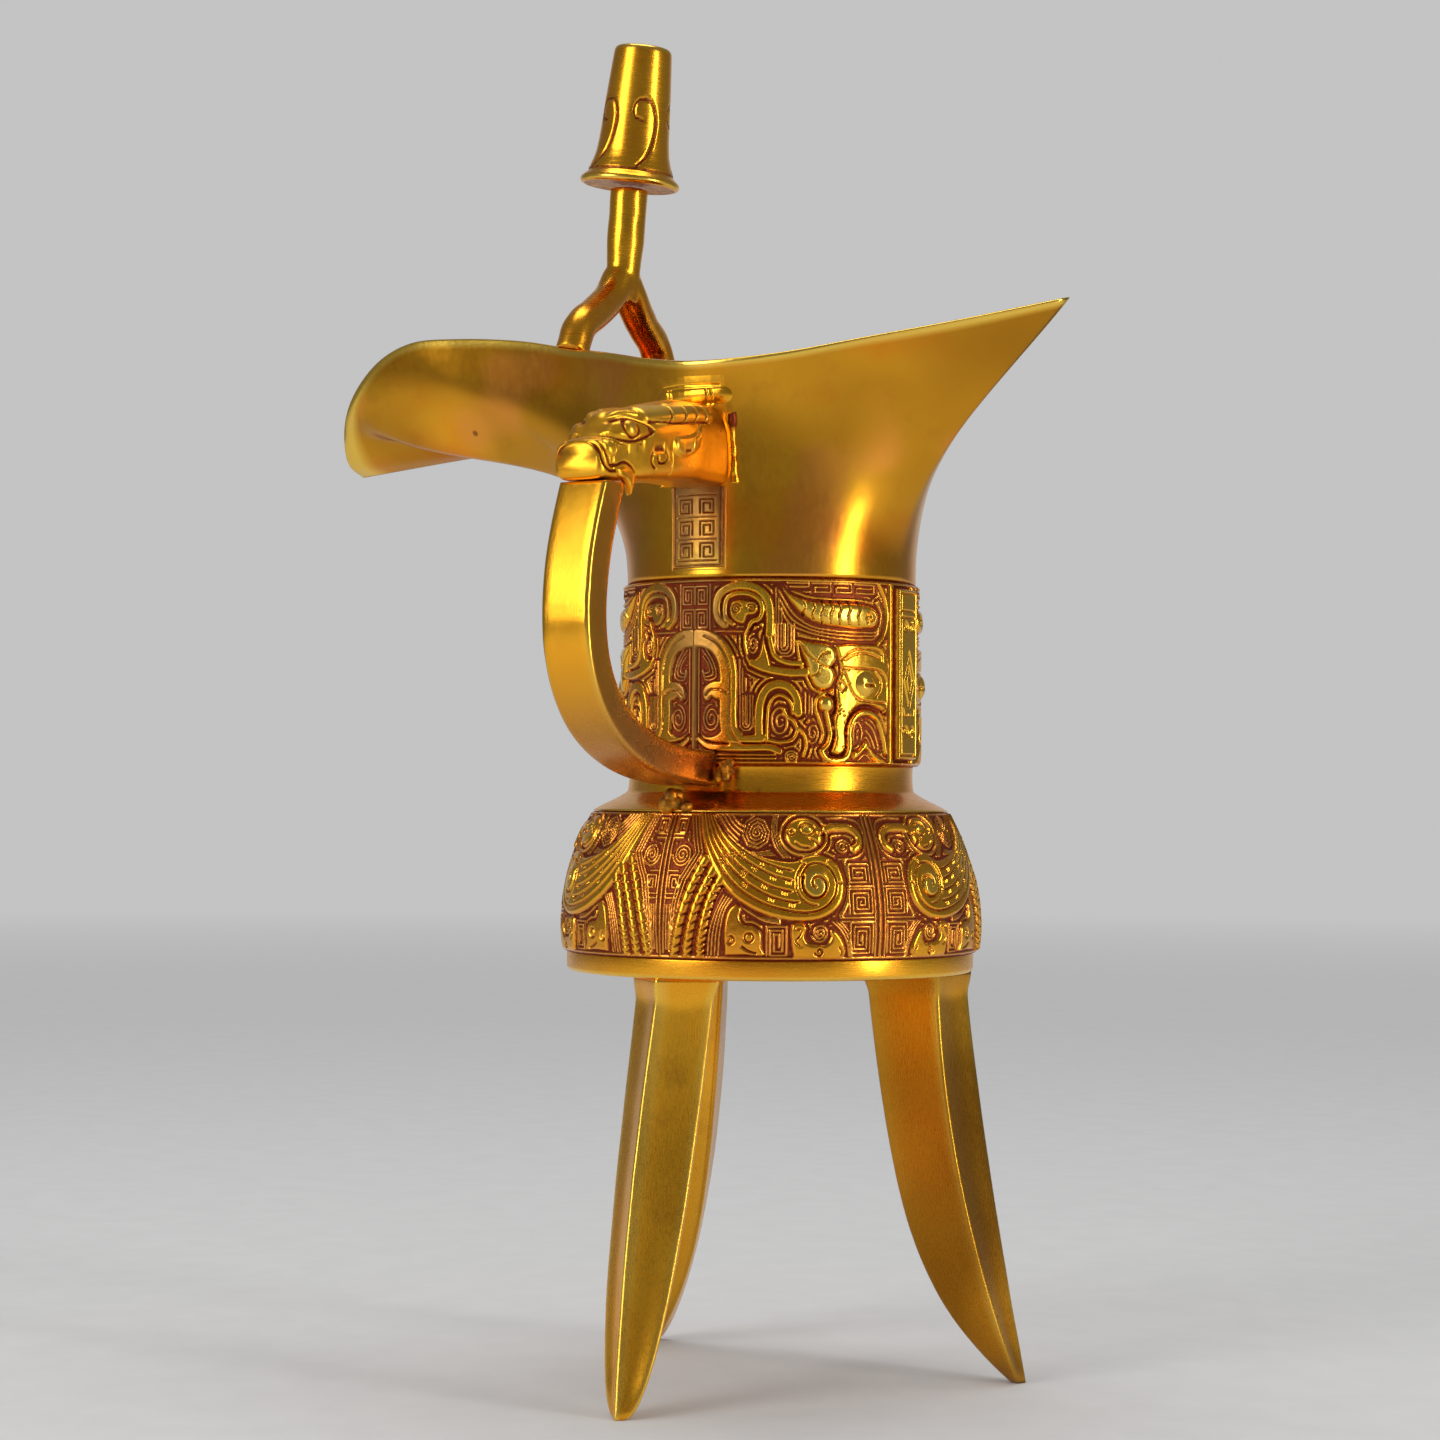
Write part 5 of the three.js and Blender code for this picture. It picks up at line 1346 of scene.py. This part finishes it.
def bird_head(r):
    """The bird's round head with its eye and beak."""
    r.band(list(oval((26.3, 21.6), 4.5, 3.35, 20)) + [(30.8, 21.6)], 0.28, 0.85, 0.25, 60)
    r.plate(oval((26.3, 21.6), 3.75, 2.75), 1.25, 1.3)
    r.cut(np.vstack([oval((26.9, 22.3), 1.45, 1.0), [(28.35, 22.3)]]), 0.22, 0.5)
    r.plate(oval((26.9, 22.3), 1.05, 0.68), 1.7, 0.7)
    r.cut(spiral((23.9, 21.9), 0.7, 0.15, 1.1, 180), 0.22, 0.5)
    r.curve([(27.4, 20.7), (28.3, 20.4), (29.0, 19.8)], 0.24, 0.5)
    r.curve([(28.9, 21.6), (29.4, 21.4), (30.2, 21.5)], 0.22, 0.45)
    r.curve([(24.6, 20.2), (25.6, 19.6), (27.0, 19.4)], 0.22, 0.45)
    r.band([(30.6, 22.5), (33.2, 22.7), (35.8, 22.4), (37.1, 21.3), (36.9, 19.9),
            (35.8, 19.2)], 0.72, 1.2, 0.6)
    r.curve([(31.2, 23.0), (34.2, 23.1), (36.4, 22.5)], 0.18, 0.35)


def bird_feet(r):
    """The two feet on the foot line."""
    r.plate([(24.0, 1.9), (23.5, 5.0), (23.7, 7.2), (25.3, 7.5), (26.3, 6.7), (25.9, 5.4), (26.3, 4.5),
             (27.6, 4.1), (29.6, 4.1), (30.4, 5.1), (30.3, 6.4), (31.5, 6.0), (32.8, 4.3), (33.2, 2.6),
             (32.4, 1.8), (28.0, 1.7)], 1.1, 0.6)
    r.cut(spiral((28.4, 2.9), 0.8, 0.2, 1.0, 200), 0.24, 0.55)
    r.curve([(32.0, 3.6), (32.5, 2.8), (32.3, 2.2)], 0.22, 0.45)
    r.curve([(24.4, 6.6), (25.4, 6.4), (25.0, 5.4), (24.3, 4.6), (25.1, 3.8)], 0.2, 0.45)
    r.plate([(12.1, 2.2), (12.0, 7.0), (12.8, 9.6), (14.0, 10.4), (14.9, 9.6), (14.7, 8.3), (15.4, 7.2),
             (17.2, 6.9), (18.4, 5.8), (18.5, 3.4), (19.0, 2.3), (15.6, 2.3)], 1.0, 0.5)
    r.cut(spiral((16.3, 5.1), 0.75, 0.75, 1.0, 0), 0.2, 0.45)
    r.cut(spiral((13.1, 4.6), 0.8, 0.2, 1.0, 90, -1), 0.2, 0.45)
    r.curve([(15.1, 3.7), (16.2, 3.0), (17.6, 2.6)], 0.22, 0.5)


def bird(p):
    """One sixth of the belly, from the axis between two tails (x = 0) to the axis between beaks."""
    r = Relief(p)
    bird_ground(r)
    r.lines[:] = r.away
    r.away[:] = 9.0
    bird_tail(r)
    bird_wing(r)
    bird_head(r)
    bird_feet(r)
    return r


def make_belly():
    """The belly frieze in six sectors, each with one bird."""
    outline = belly_outline(400)
    step = np.concatenate([[0], np.cumsum(np.linalg.norm(np.diff(outline, axis=0), axis=1))])
    at = np.linspace(0, step[-1], 160)
    curve = np.column_stack([np.interp(at, step, outline[:, 0]), np.interp(at, step, outline[:, 1])])
    slope = np.gradient(curve, axis=0)
    slope /= np.linalg.norm(slope, axis=1)[:, None]
    rows = np.column_stack([curve, slope[:, 1], -slope[:, 0]])
    inner = [(r - 3, z) for r, z in belly_outline(8)[::-1]]
    u = np.linspace(0, BIRD_SPAN, 226)
    grid_u, grid_v = np.meshgrid(u, curve[:, 1] - BASE_TOP)
    drawn_from, squeeze = 1.4, 0.905
    relief = bird(np.column_stack([grid_u.ravel(), drawn_from + grid_v.ravel() * squeeze]))
    height = relief.finished(0.56, 0.42, 0.84, (2.9, 2.8)).reshape(grid_u.shape)
    edge = smooth(0, 0.6, np.minimum(grid_v, BELLY_TOP - BASE_TOP - grid_v))
    height *= 0.2 + 0.8 * edge
    for i in range(3):
        for way in (1, -1):
            angles = math.radians(-90 + 120 * i) + way * u / BIRD_SPAN * math.pi / 3
            reach = curve[:, :1]
            x, y = reach * np.cos(angles), reach * np.sin(angles)
            spots = np.stack([x, y, 0 * angles + curve[:, 1:]], 2).reshape(-1, 3)
            uneven = 0.04 * value_noise(spots, 2.0, 61) + 0.012 * value_noise(spots, 0.8, 62)
            uneven = uneven.reshape(grid_u.shape)
            h = height + uneven * edge - 0.35
            dark = np.clip(smooth(-0.04, -0.3, h), 0, 1)
            wear = smooth(0.3, 0.6, h)
            side = "left" if way < 0 else "right"
            marks = {"dark": 0.95 * dark, "wear": np.clip(0.8 * wear, 0, 1), "ember": smooth(0.34, -0.1, h)}
            sector(f"bird_{i + 1}_{side}", angles, rows, inner, h, marks, RELIEF,
                   ["belly_frieze"])


# Animal head of the handle, the tab above it and the panel below it

HEAD_ROOT = 26.1
HEAD_TIP = 66.5
# Reach from the cup's axis, half width, top and underside of the head, over its base.
HEAD_PROFILE = [
    (HEAD_ROOT, 6.75, 15.2, 0.0), (33, 6.9, 15.0, 0.0), (40, 7.5, 14.4, 0.0), (46, 7.5, 13.7, 0.0),
    (52, 7.2, 12.9, 0.0), (56, 6.6, 12.5, 0.0), (58.8, 6.0, 12.1, 0.0), (60.4, 5.7, 11.2, 0.0),
    (61.8, 5.5, 9.3, 0.0), (63.0, 5.3, 8.0, 0.0), (64.4, 5.2, 7.6, 0.05), (65.5, 5.0, 7.2, 0.2),
    (66.2, 4.6, 6.7, 0.6), (HEAD_TIP, 3.9, 6.0, 1.3),
]


def snout_drop(reach):
    """How far the head sinks towards its snout."""
    return SNOUT_DROP * np.clip((reach - 38) / 24, 0, 1)


def head_relief(p):
    """Height over the cheek for points given by reach and height above the head's base."""
    r = Relief(p)
    r.plate([(63.2, 8.7), (61.0, 10.0), (58.4, 10.5), (55.8, 9.8), (53.4, 8.7), (55.8, 7.8), (58.6, 7.3),
             (61.2, 7.7)], 0.5, 0.5)
    r.disc((58.4, 9.0), 1.45, 1.05, 1.4)
    r.cut(spiral((58.4, 9.0), 1.6, 1.6, 1.0, 0), 0.3, 0.5)
    lid = [(63.6, 8.5), (61.2, 10.3), (58.4, 11.0), (55.4, 10.1), (52.8, 8.6), (55.8, 7.3), (58.6, 6.8),
           (61.4, 7.2), (63.6, 8.5)]
    r.cut(catmull(lid, 40), 0.32, 0.55)
    r.curve([(62.8, 7.0), (59.0, 6.0), (55.6, 6.6)], 0.2, 0.3)
    r.cut([(54.2, 8.8), (53.4, 8.7)], 0.6, 0.8)
    r.band([(64.4, 8.6), (61.8, 11.0), (58.4, 12.2), (54.4, 11.6), (51.4, 10.4),
            (49.0, 10.2)], 0.55, 0.7, 0.6)
    r.band([(53.6, 11.6), (48.0, 11.7), (42.0, 11.9), (36.0, 12.1), (33.8, 12.3)], 1.5, 1.25, 1.4)
    for x in (47.2, 43.0, 39.6, 36.0):
        r.curve([(x + 0.1, 13.7), (x - 0.3, 12.2), (x + 0.4, 10.3)], 0.32, 0.6)
    r.curve([(53.6, 10.2), (48.0, 10.1), (42.0, 10.3), (34.0, 10.7)], 0.22, 0.4)
    ear = [(38.0, 10.4), (39.6, 8.7), (43.0, 7.8), (46.6, 7.4), (47.5, 5.8), (45.8, 4.5), (42.6, 4.4),
           (40.0, 5.5), (38.3, 7.4)]
    r.plate(ear, 0.9, 0.9)
    r.curve([(46.2, 6.6), (43.8, 6.9), (41.4, 6.5), (42.2, 5.4), (44.2, 5.2)], 0.24, 0.45)
    r.curve([(40.8, 7.4), (39.2, 8.4), (38.3, 9.6)], 0.2, 0.35)
    r.cut(spiral((50.8, 3.9), 3.2, 0.9, 1.2, -60, 1, 0.66), 0.32, 0.6)
    r.curve([(47.4, 5.4), (47.5, 3.4), (47.3, 1.2)], 0.2, 0.4)
    for lift in (0, 1.0):
        r.curve([(66.3 - lift, 6.6), (66.2 - lift, 4.4 + lift * 0.3), (65.6 - lift, 2.6 + lift),
                 (64.2, 1.6 + lift), (62.2, 1.7 + lift), (60.4, 2.2 + lift), (58.8, 1.6 + lift),
                 (57.4, 0.2 + lift)], 0.34, 0.55)
    r.disc((63.6, 5.6), 1.5, 0.8, 1.4)
    return r


def make_head():
    """The animal head: closed rings from the neck to the snout, with the drawn relief on both cheeks."""
    reach = np.concatenate([np.linspace(HEAD_ROOT, 33, 24), np.linspace(33.15, 63, 200),
                            np.linspace(63.15, 66.2, 30), [66.3, 66.4, HEAD_TIP]])
    dense = catmull(np.array(HEAD_PROFILE), 240)
    around = 280
    turn = np.linspace(0, 2 * np.pi, around, endpoint=False) + np.pi / around
    rings = []
    for rho in reach:
        w, top, low = [np.interp(rho, dense[:, 0], dense[:, i]) for i in (1, 2, 3)]
        c, s = np.cos(turn), np.sin(turn)
        power = np.where(s > 0, 2 / 2.5, 2 / 5.0)
        x = w * np.sign(c) * np.abs(c) ** power
        z = (top + low) / 2 + (top - low) / 2 * np.sign(s) * np.abs(s) ** power
        back = 0.8 + 0.1 * z
        start = rho + back * smooth(32, HEAD_ROOT, rho)
        rings.append(np.column_stack([x, -start * np.ones(around), z]))
    rings = np.array(rings)
    # The skin's own normals, for the relief.
    across = np.roll(rings, -1, 1) - np.roll(rings, 1, 1)
    along = np.gradient(rings, axis=0)
    normal = np.cross(across, along)
    normal /= np.maximum(np.linalg.norm(normal, axis=2, keepdims=True), 1e-9)
    if (normal[150] * (rings[150] - rings[150].mean(0))).sum() < 0:
        normal = -normal
    flat = rings.reshape(-1, 3)
    relief = head_relief(np.column_stack([-flat[:, 1], flat[:, 2]]))
    n = normal.reshape(-1, 3)
    facing = smooth(0.02, 0.35, np.abs(n[:, 0]))
    height = (relief.height * 0.8 - relief.cuts) * facing
    # A groove over the snout and a low ridge down the forehead.
    rho = -flat[:, 1]
    upper = smooth(-0.3, 0.2, n[:, 2])
    groove = 0.3 * smooth(0.3, 0.1, np.abs(rho - 63.2)) * upper
    ridge = 0.3 * smooth(1.5, 0.2, np.abs(flat[:, 0])) * upper * smooth(30, 36, rho) * smooth(62, 59, rho)
    height += ridge - groove
    height += 0.05 * value_noise(flat, 3.0, 71) - 0.05
    points = flat + n * height[:, None]
    points[:, 2] = np.maximum(points[:, 2], 0) + HEAD_BASE - snout_drop(-points[:, 1])
    points, faces = capped_rings(list(points.reshape(rings.shape)))
    dark = np.clip(2.2 * relief.cuts * facing + 2 * groove, 0, 0.95)
    wear = smooth(0.35, 0.9, height)
    add_piece("head", points, faces, HEAD, ["handle_head"],
              {"dark": dark, "wear": 0.5 * wear})


def make_jaws():
    """The pointed lips that close over the strap's two sides."""
    outline = catmull([(62.2, 0.2), (61.6, -1.0), (60.0, -1.4), (58.6, -2.3), (57.7, -4.1), (56.9, -2.8),
                       (56.2, -1.2), (55.6, 0.6), (58.6, 1.0), (62.2, 0.2)], 60)[:-1]
    for side, name in ((1, "lip_right"), (-1, "lip_left")):
        middle = outline.mean(0)
        rings = []
        for share, x in ((1.0, 4.4), (1.0, 5.1), (0.93, 5.42), (0.75, 5.62), (0.45, 5.72), (0.15, 5.74)):
            q = middle + (outline - middle) * share
            rings.append(np.column_stack([np.full(len(q), side * x), -q[:, 0], q[:, 1] + HEAD_BASE]))
        points, faces = capped_rings(rings)
        add_piece(name, points, faces, HEAD)


def wall_y(tree, x, z):
    """Near face of the mouth's wall at x and z, in vessel millimetres."""
    start = Vector(((x + AXIS_X) * MM, (AXIS_Y - 60) * MM, z * MM))
    hit = tree.ray_cast(start, Vector((0, 1, 0)))
    return (hit[0].y / MM - AXIS_Y) if hit[0] else -NECK_RADIUS


def wall_plate(tree, name, xs, zs, lift, marks, material):
    """A thin plate that follows the wall; lift is its height over the wall at each point."""
    base = np.array([[wall_y(tree, x, z) for x in xs] for z in zs])
    grid_x, grid_z = np.meshgrid(xs, zs)
    front = np.stack([grid_x, base - lift, grid_z], 2).reshape(-1, 3)
    back = np.stack([grid_x, base + 0.7, grid_z], 2)
    n = len(xs)
    m = len(zs)
    ends = np.concatenate([back[-1], back[0]])
    points = np.concatenate([front, ends])
    faces = grid_faces(m + 2, n, wrap_rows=True)
    faces.append([i * n for i in range(m + 2)])
    faces.append([i * n + n - 1 for i in range(m + 2)][::-1])
    padded = {key: np.concatenate([v.ravel(), np.zeros(2 * n)]) for key, v in marks.items()}
    add_piece(name, points, faces, material, (), padded)


def make_panel(tree):
    """Sunk frame with a plain meander, where the neck shows under the head."""
    half = 5.7
    xs, zs = np.linspace(-half, half, 96), np.linspace(WAIST_TOP + 1.6, HEAD_BASE + 0.2, 130)
    grid_x, grid_z = np.meshgrid(xs, zs)
    flat = np.column_stack([grid_x.ravel(), grid_z.ravel() - zs[0]])
    r = Relief(flat)
    height = zs[-1] - zs[0]
    for inset, deep in ((0.35, 0.42), (0.85, 0.2)):
        x, top = half - inset, height + 2
        r.cut([(-x, top), (-x, inset), (x, inset), (x, top)], 0.22, deep)
    for way in (1, -1):
        for y in (3.6, 7.6, 11.6):
            r.cut(square_spiral((way * 2.2, y), 2.7, 2.5, 0.7, way), 0.14, 0.26)
    for y in (1.7, 5.6, 9.6, 13.6):
        r.cut([(-4.1, y), (4.1, y)], 0.13, 0.22)
    edge = np.minimum(half - np.abs(flat[:, 0]), flat[:, 1])
    spots = np.column_stack([flat, 0 * edge])
    lift = 0.36 * np.sqrt(smooth(0, 0.5, edge)) - r.cuts + 0.03 * value_noise(spots, 1.6, 81)
    # Brown ground with random tone; the last term darkens the top as a painted shadow under the head.
    aged = 0.82 + 0.16 * value_noise(spots, 2.2, 82) + 0.3 * smooth(height * 0.62, height, flat[:, 1])
    marks = {"dark": np.clip(3.2 * r.cuts, 0, 1).reshape(grid_x.shape),
             "aged": np.clip(aged, 0, 1).reshape(grid_x.shape)}
    wall_plate(tree, "panel", xs, zs, lift.reshape(grid_x.shape), marks, RELIEF)


def make_tab(tree):
    """The seat of the head: a soft pad on the neck, with a ringed bar above the head's crown."""
    left, right = -8.4, 8.0
    xs, zs = np.linspace(left, right, 90), np.linspace(HEAD_BASE + 10, SADDLE_RISE + WAIST_TOP - 1.2, 86)
    grid_x, grid_z = np.meshgrid(xs, zs)
    x, z = grid_x.ravel(), grid_z.ravel() - HEAD_BASE
    edge = np.minimum(np.minimum(x - left, right - x), zs[-1] - HEAD_BASE - z)
    r = Relief(np.column_stack([x, z]))
    r.stroke([(-6.6, 16.3), (6.2, 16.5)], 1.35, 1.0, 1.3)
    for rib in (-5.3, -4.5, 2.9, 3.8):
        r.curve([(rib, 17.6), (rib + 0.3, 16.4), (rib, 15.1)], 0.2, 0.3)
    r.curve([(-7.4, 18.2), (-2.0, 18.5), (5.4, 18.3)], 0.16, 0.12)
    lift = 0.14 * smooth(0, 3.0, edge) - 0.08 + 0.5 * r.height - 0.7 * r.cuts
    marks = {"dark": np.clip(1.4 * r.cuts, 0, 0.7).reshape(grid_x.shape)}
    wall_plate(tree, "head_seat", xs, zs, lift.reshape(grid_x.shape), marks, NECK)


def make_head_braze(tree):
    """Braze that has run along the head's rear edge."""
    heights = np.linspace(HEAD_BASE + 0.6, HEAD_BASE + 13.2, 9)
    for side, name in ((1, "head_braze_right"), (-1, "head_braze_left")):
        path = [(side * (7.3 + 0.25 * math.sin(3.1 * k)), wall_y(tree, side * 7.3, z) - 0.1, z)
                for k, z in enumerate(heights)]
        points, faces = tube(path, [0.75, 0.5, 0.65, 0.4, 0.5, 0.35, 0.5, 0.8, 0.7], 14, 60)
        points = points + 0.16 * value_noise(points, 0.9, 91)[:, None]
        dark = smooth(HEAD_BASE + 9.5, HEAD_BASE + 12, points[:, 2]) + 0.15
        add_piece(name, points, faces, POLISHED, (), {"dark": np.clip(dark, 0, 1)})


# Camera, lights and floor


def aim(obj, direction):
    """Turns the object to look in the direction."""
    obj.rotation_euler = Vector(direction).to_track_quat("-Z", "Y").to_euler()


def make_camera():
    """The photograph's camera, worked out from the curvature of the rings and the vessel's outline."""
    data = bpy.data.cameras.new("camera")
    camera = bpy.data.objects.new("camera", data)
    bpy.context.scene.collection.objects.link(camera)
    bpy.context.scene.camera = camera
    data.sensor_width = 36
    data.lens = FOCAL_PX / FRAME_PX * data.sensor_width
    data.clip_start = 0.01
    data.clip_end = 100
    distance, height, roll = 586.0, 110.6, math.radians(0.3)
    axis_right_px, horizon_below_px = 51, 68.1
    camera.location = Vector(((AXIS_X + BACK.x * distance) * MM, (AXIS_Y + BACK.y * distance) * MM,
                              height * MM))
    aim(camera, -BACK - RIGHT * (axis_right_px / FOCAL_PX) + Vector((0, 0, horizon_below_px / FOCAL_PX)))
    camera.rotation_euler.rotate_axis("Z", roll)


def area(name, place, target, width, height, watts):
    """A soft rectangular lamp that shines at the target; width and height are in metres."""
    data = bpy.data.lights.new(name, "AREA")
    data.shape = "RECTANGLE"
    data.size = width
    data.size_y = height
    data.energy = watts
    lamp = bpy.data.objects.new(name, data)
    bpy.context.scene.collection.objects.link(lamp)
    lamp.location = place
    aim(lamp, target - place)


def studio_light(tree, direction):
    """Strength of the room in a world direction: a pale backdrop ahead and a dim room behind.

    The camera sees the pale backdrop on every side; the metal mirrors the room as it is."""
    ahead_from, ahead_to, dim = 0.7, 0.99, 0.17
    split = tree.nodes.new("ShaderNodeVectorMath")
    split.operation = "DOT_PRODUCT"
    split.inputs[1].default_value = -BACK
    tree.links.new(direction, split.inputs[0])
    ramp = tree.nodes.new("ShaderNodeMapRange")
    ramp.interpolation_type = "SMOOTHSTEP"
    for i, value in ((1, ahead_from), (2, ahead_to), (3, dim), (4, BACKDROP)):
        ramp.inputs[i].default_value = value
    tree.links.new(split.outputs["Value"], ramp.inputs[0])
    path = tree.nodes.new("ShaderNodeLightPath")
    pick = tree.nodes.new("ShaderNodeMix")
    pick.inputs[2].default_value = BACKDROP
    unseen = tree.nodes.new("ShaderNodeMath")
    unseen.operation = "MAXIMUM"
    tree.links.new(path.outputs["Is Glossy Ray"], unseen.inputs[0])
    tree.links.new(path.outputs["Is Transmission Ray"], unseen.inputs[1])
    tree.links.new(unseen.outputs[0], pick.inputs[0])
    tree.links.new(ramp.outputs[0], pick.inputs[3])
    return pick.outputs[0]


def make_stage():
    """A pale floor that runs out into the backdrop, and three soft lamps."""
    size = 30
    mesh = bpy.data.meshes.new("floor")
    mesh.from_pydata([(-size, -size, 0), (size, -size, 0), (size, size, 0), (-size, size, 0)], [],
                     [(0, 1, 2, 3)])
    floor = bpy.data.objects.new("floor", mesh)
    bpy.context.scene.collection.objects.link(floor)
    g = Graph("floor")
    here = g.place()
    grain = g.ramp(g.noise(here, 90.0, 4.0), 0.3, 0.7, 0.0, 1.0)
    g.put(g.shader.inputs["Base Color"], g.mix(grain, FLOOR_DARK, FLOOR_PALE))
    g.shader.inputs["Roughness"].default_value = 0.7
    flat = g.node("ShaderNodeVectorMath", {0: here}, operation="NORMALIZE").outputs[0]
    away = g.node("ShaderNodeVectorMath", {0: here}, operation="LENGTH").outputs["Value"]
    glow = g.node("ShaderNodeEmission", {"Strength": studio_light(g.tree, flat)})
    surfaces = {0: g.ramp(away, 0.5, 2.2), 1: g.shader.outputs[0], 2: glow.outputs[0]}
    blend = g.node("ShaderNodeMixShader", surfaces)
    g.put(g.tree.nodes["Material Output"].inputs["Surface"], blend.outputs[0])
    mesh.materials.append(g.material)

    middle = Vector((AXIS_X * MM, AXIS_Y * MM, 0.14))
    up = Vector((0, 0, 1))
    area("key", middle + BACK * 0.70 - RIGHT * 0.85 + up * 0.40, middle, 0.5, 0.8, 5.6)
    area("strip", middle + BACK * 0.50 + RIGHT * 0.82 + up * 0.12, middle, 0.13, 0.6, 3.4)
    area("top", middle - BACK * 0.15 + up * 1.1, middle, 0.7, 0.5, 4.2)


def make_world():
    """The room that the metal mirrors."""
    world = bpy.data.worlds.new("studio")
    bpy.context.scene.world = world
    world.use_nodes = True
    tree = world.node_tree
    coords = tree.nodes.new("ShaderNodeTexCoord")
    tree.links.new(studio_light(tree, coords.outputs["Generated"]),
                   tree.nodes["Background"].inputs["Strength"])
    tree.nodes["Background"].inputs["Color"].default_value = (1, 1, 1, 1)


def main():
    bpy.context.scene.view_settings.view_transform = "Standard"
    make_camera()
    make_stage()
    make_world()
    for name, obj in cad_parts.items():
        material = RELIEF if "frieze" in name or "flange" in name else POLISHED
        obj.data.materials.clear()
        obj.data.materials.append(BRAZE if "weld" in name else material)
    mouth = make_mouth()
    mesh = mouth.data
    tree = BVHTree.FromPolygons([v.co.copy() for v in mesh.vertices],
                                [list(f.vertices) for f in mesh.polygons])
    make_head()
    make_jaws()
    make_panel(tree)
    make_tab(tree)
    make_head_braze(tree)
    make_shoulder()
    make_base()
    make_waist()
    make_flanges()
    make_belly()
    make_leg("leg_front", -92.5, -0.9, -7.5)
    # The right and rear legs are browned, as patina and as painted shade.
    make_leg("leg_right", 28, aged=0.8)
    make_leg("leg_rear", 150, aged=0.5)
    make_strap()
    top_x, top_z = make_fork()
    make_cap(top_x, top_z + 0.3, 0.115)
    make_bead("bead_under", (-1.0, -COLLAR_RADIUS - 5.4, STRAP_FOOT - 5.0), (5.6, 2.9, 2.4), 5,
              ["handle_weld_under"])
    make_bead("bead_side", (6.85, -COLLAR_RADIUS - 1.8, STRAP_FOOT + 0.2), (1.7, 2.0, 3.0), 9,
              ["handle_weld_side"])


main()
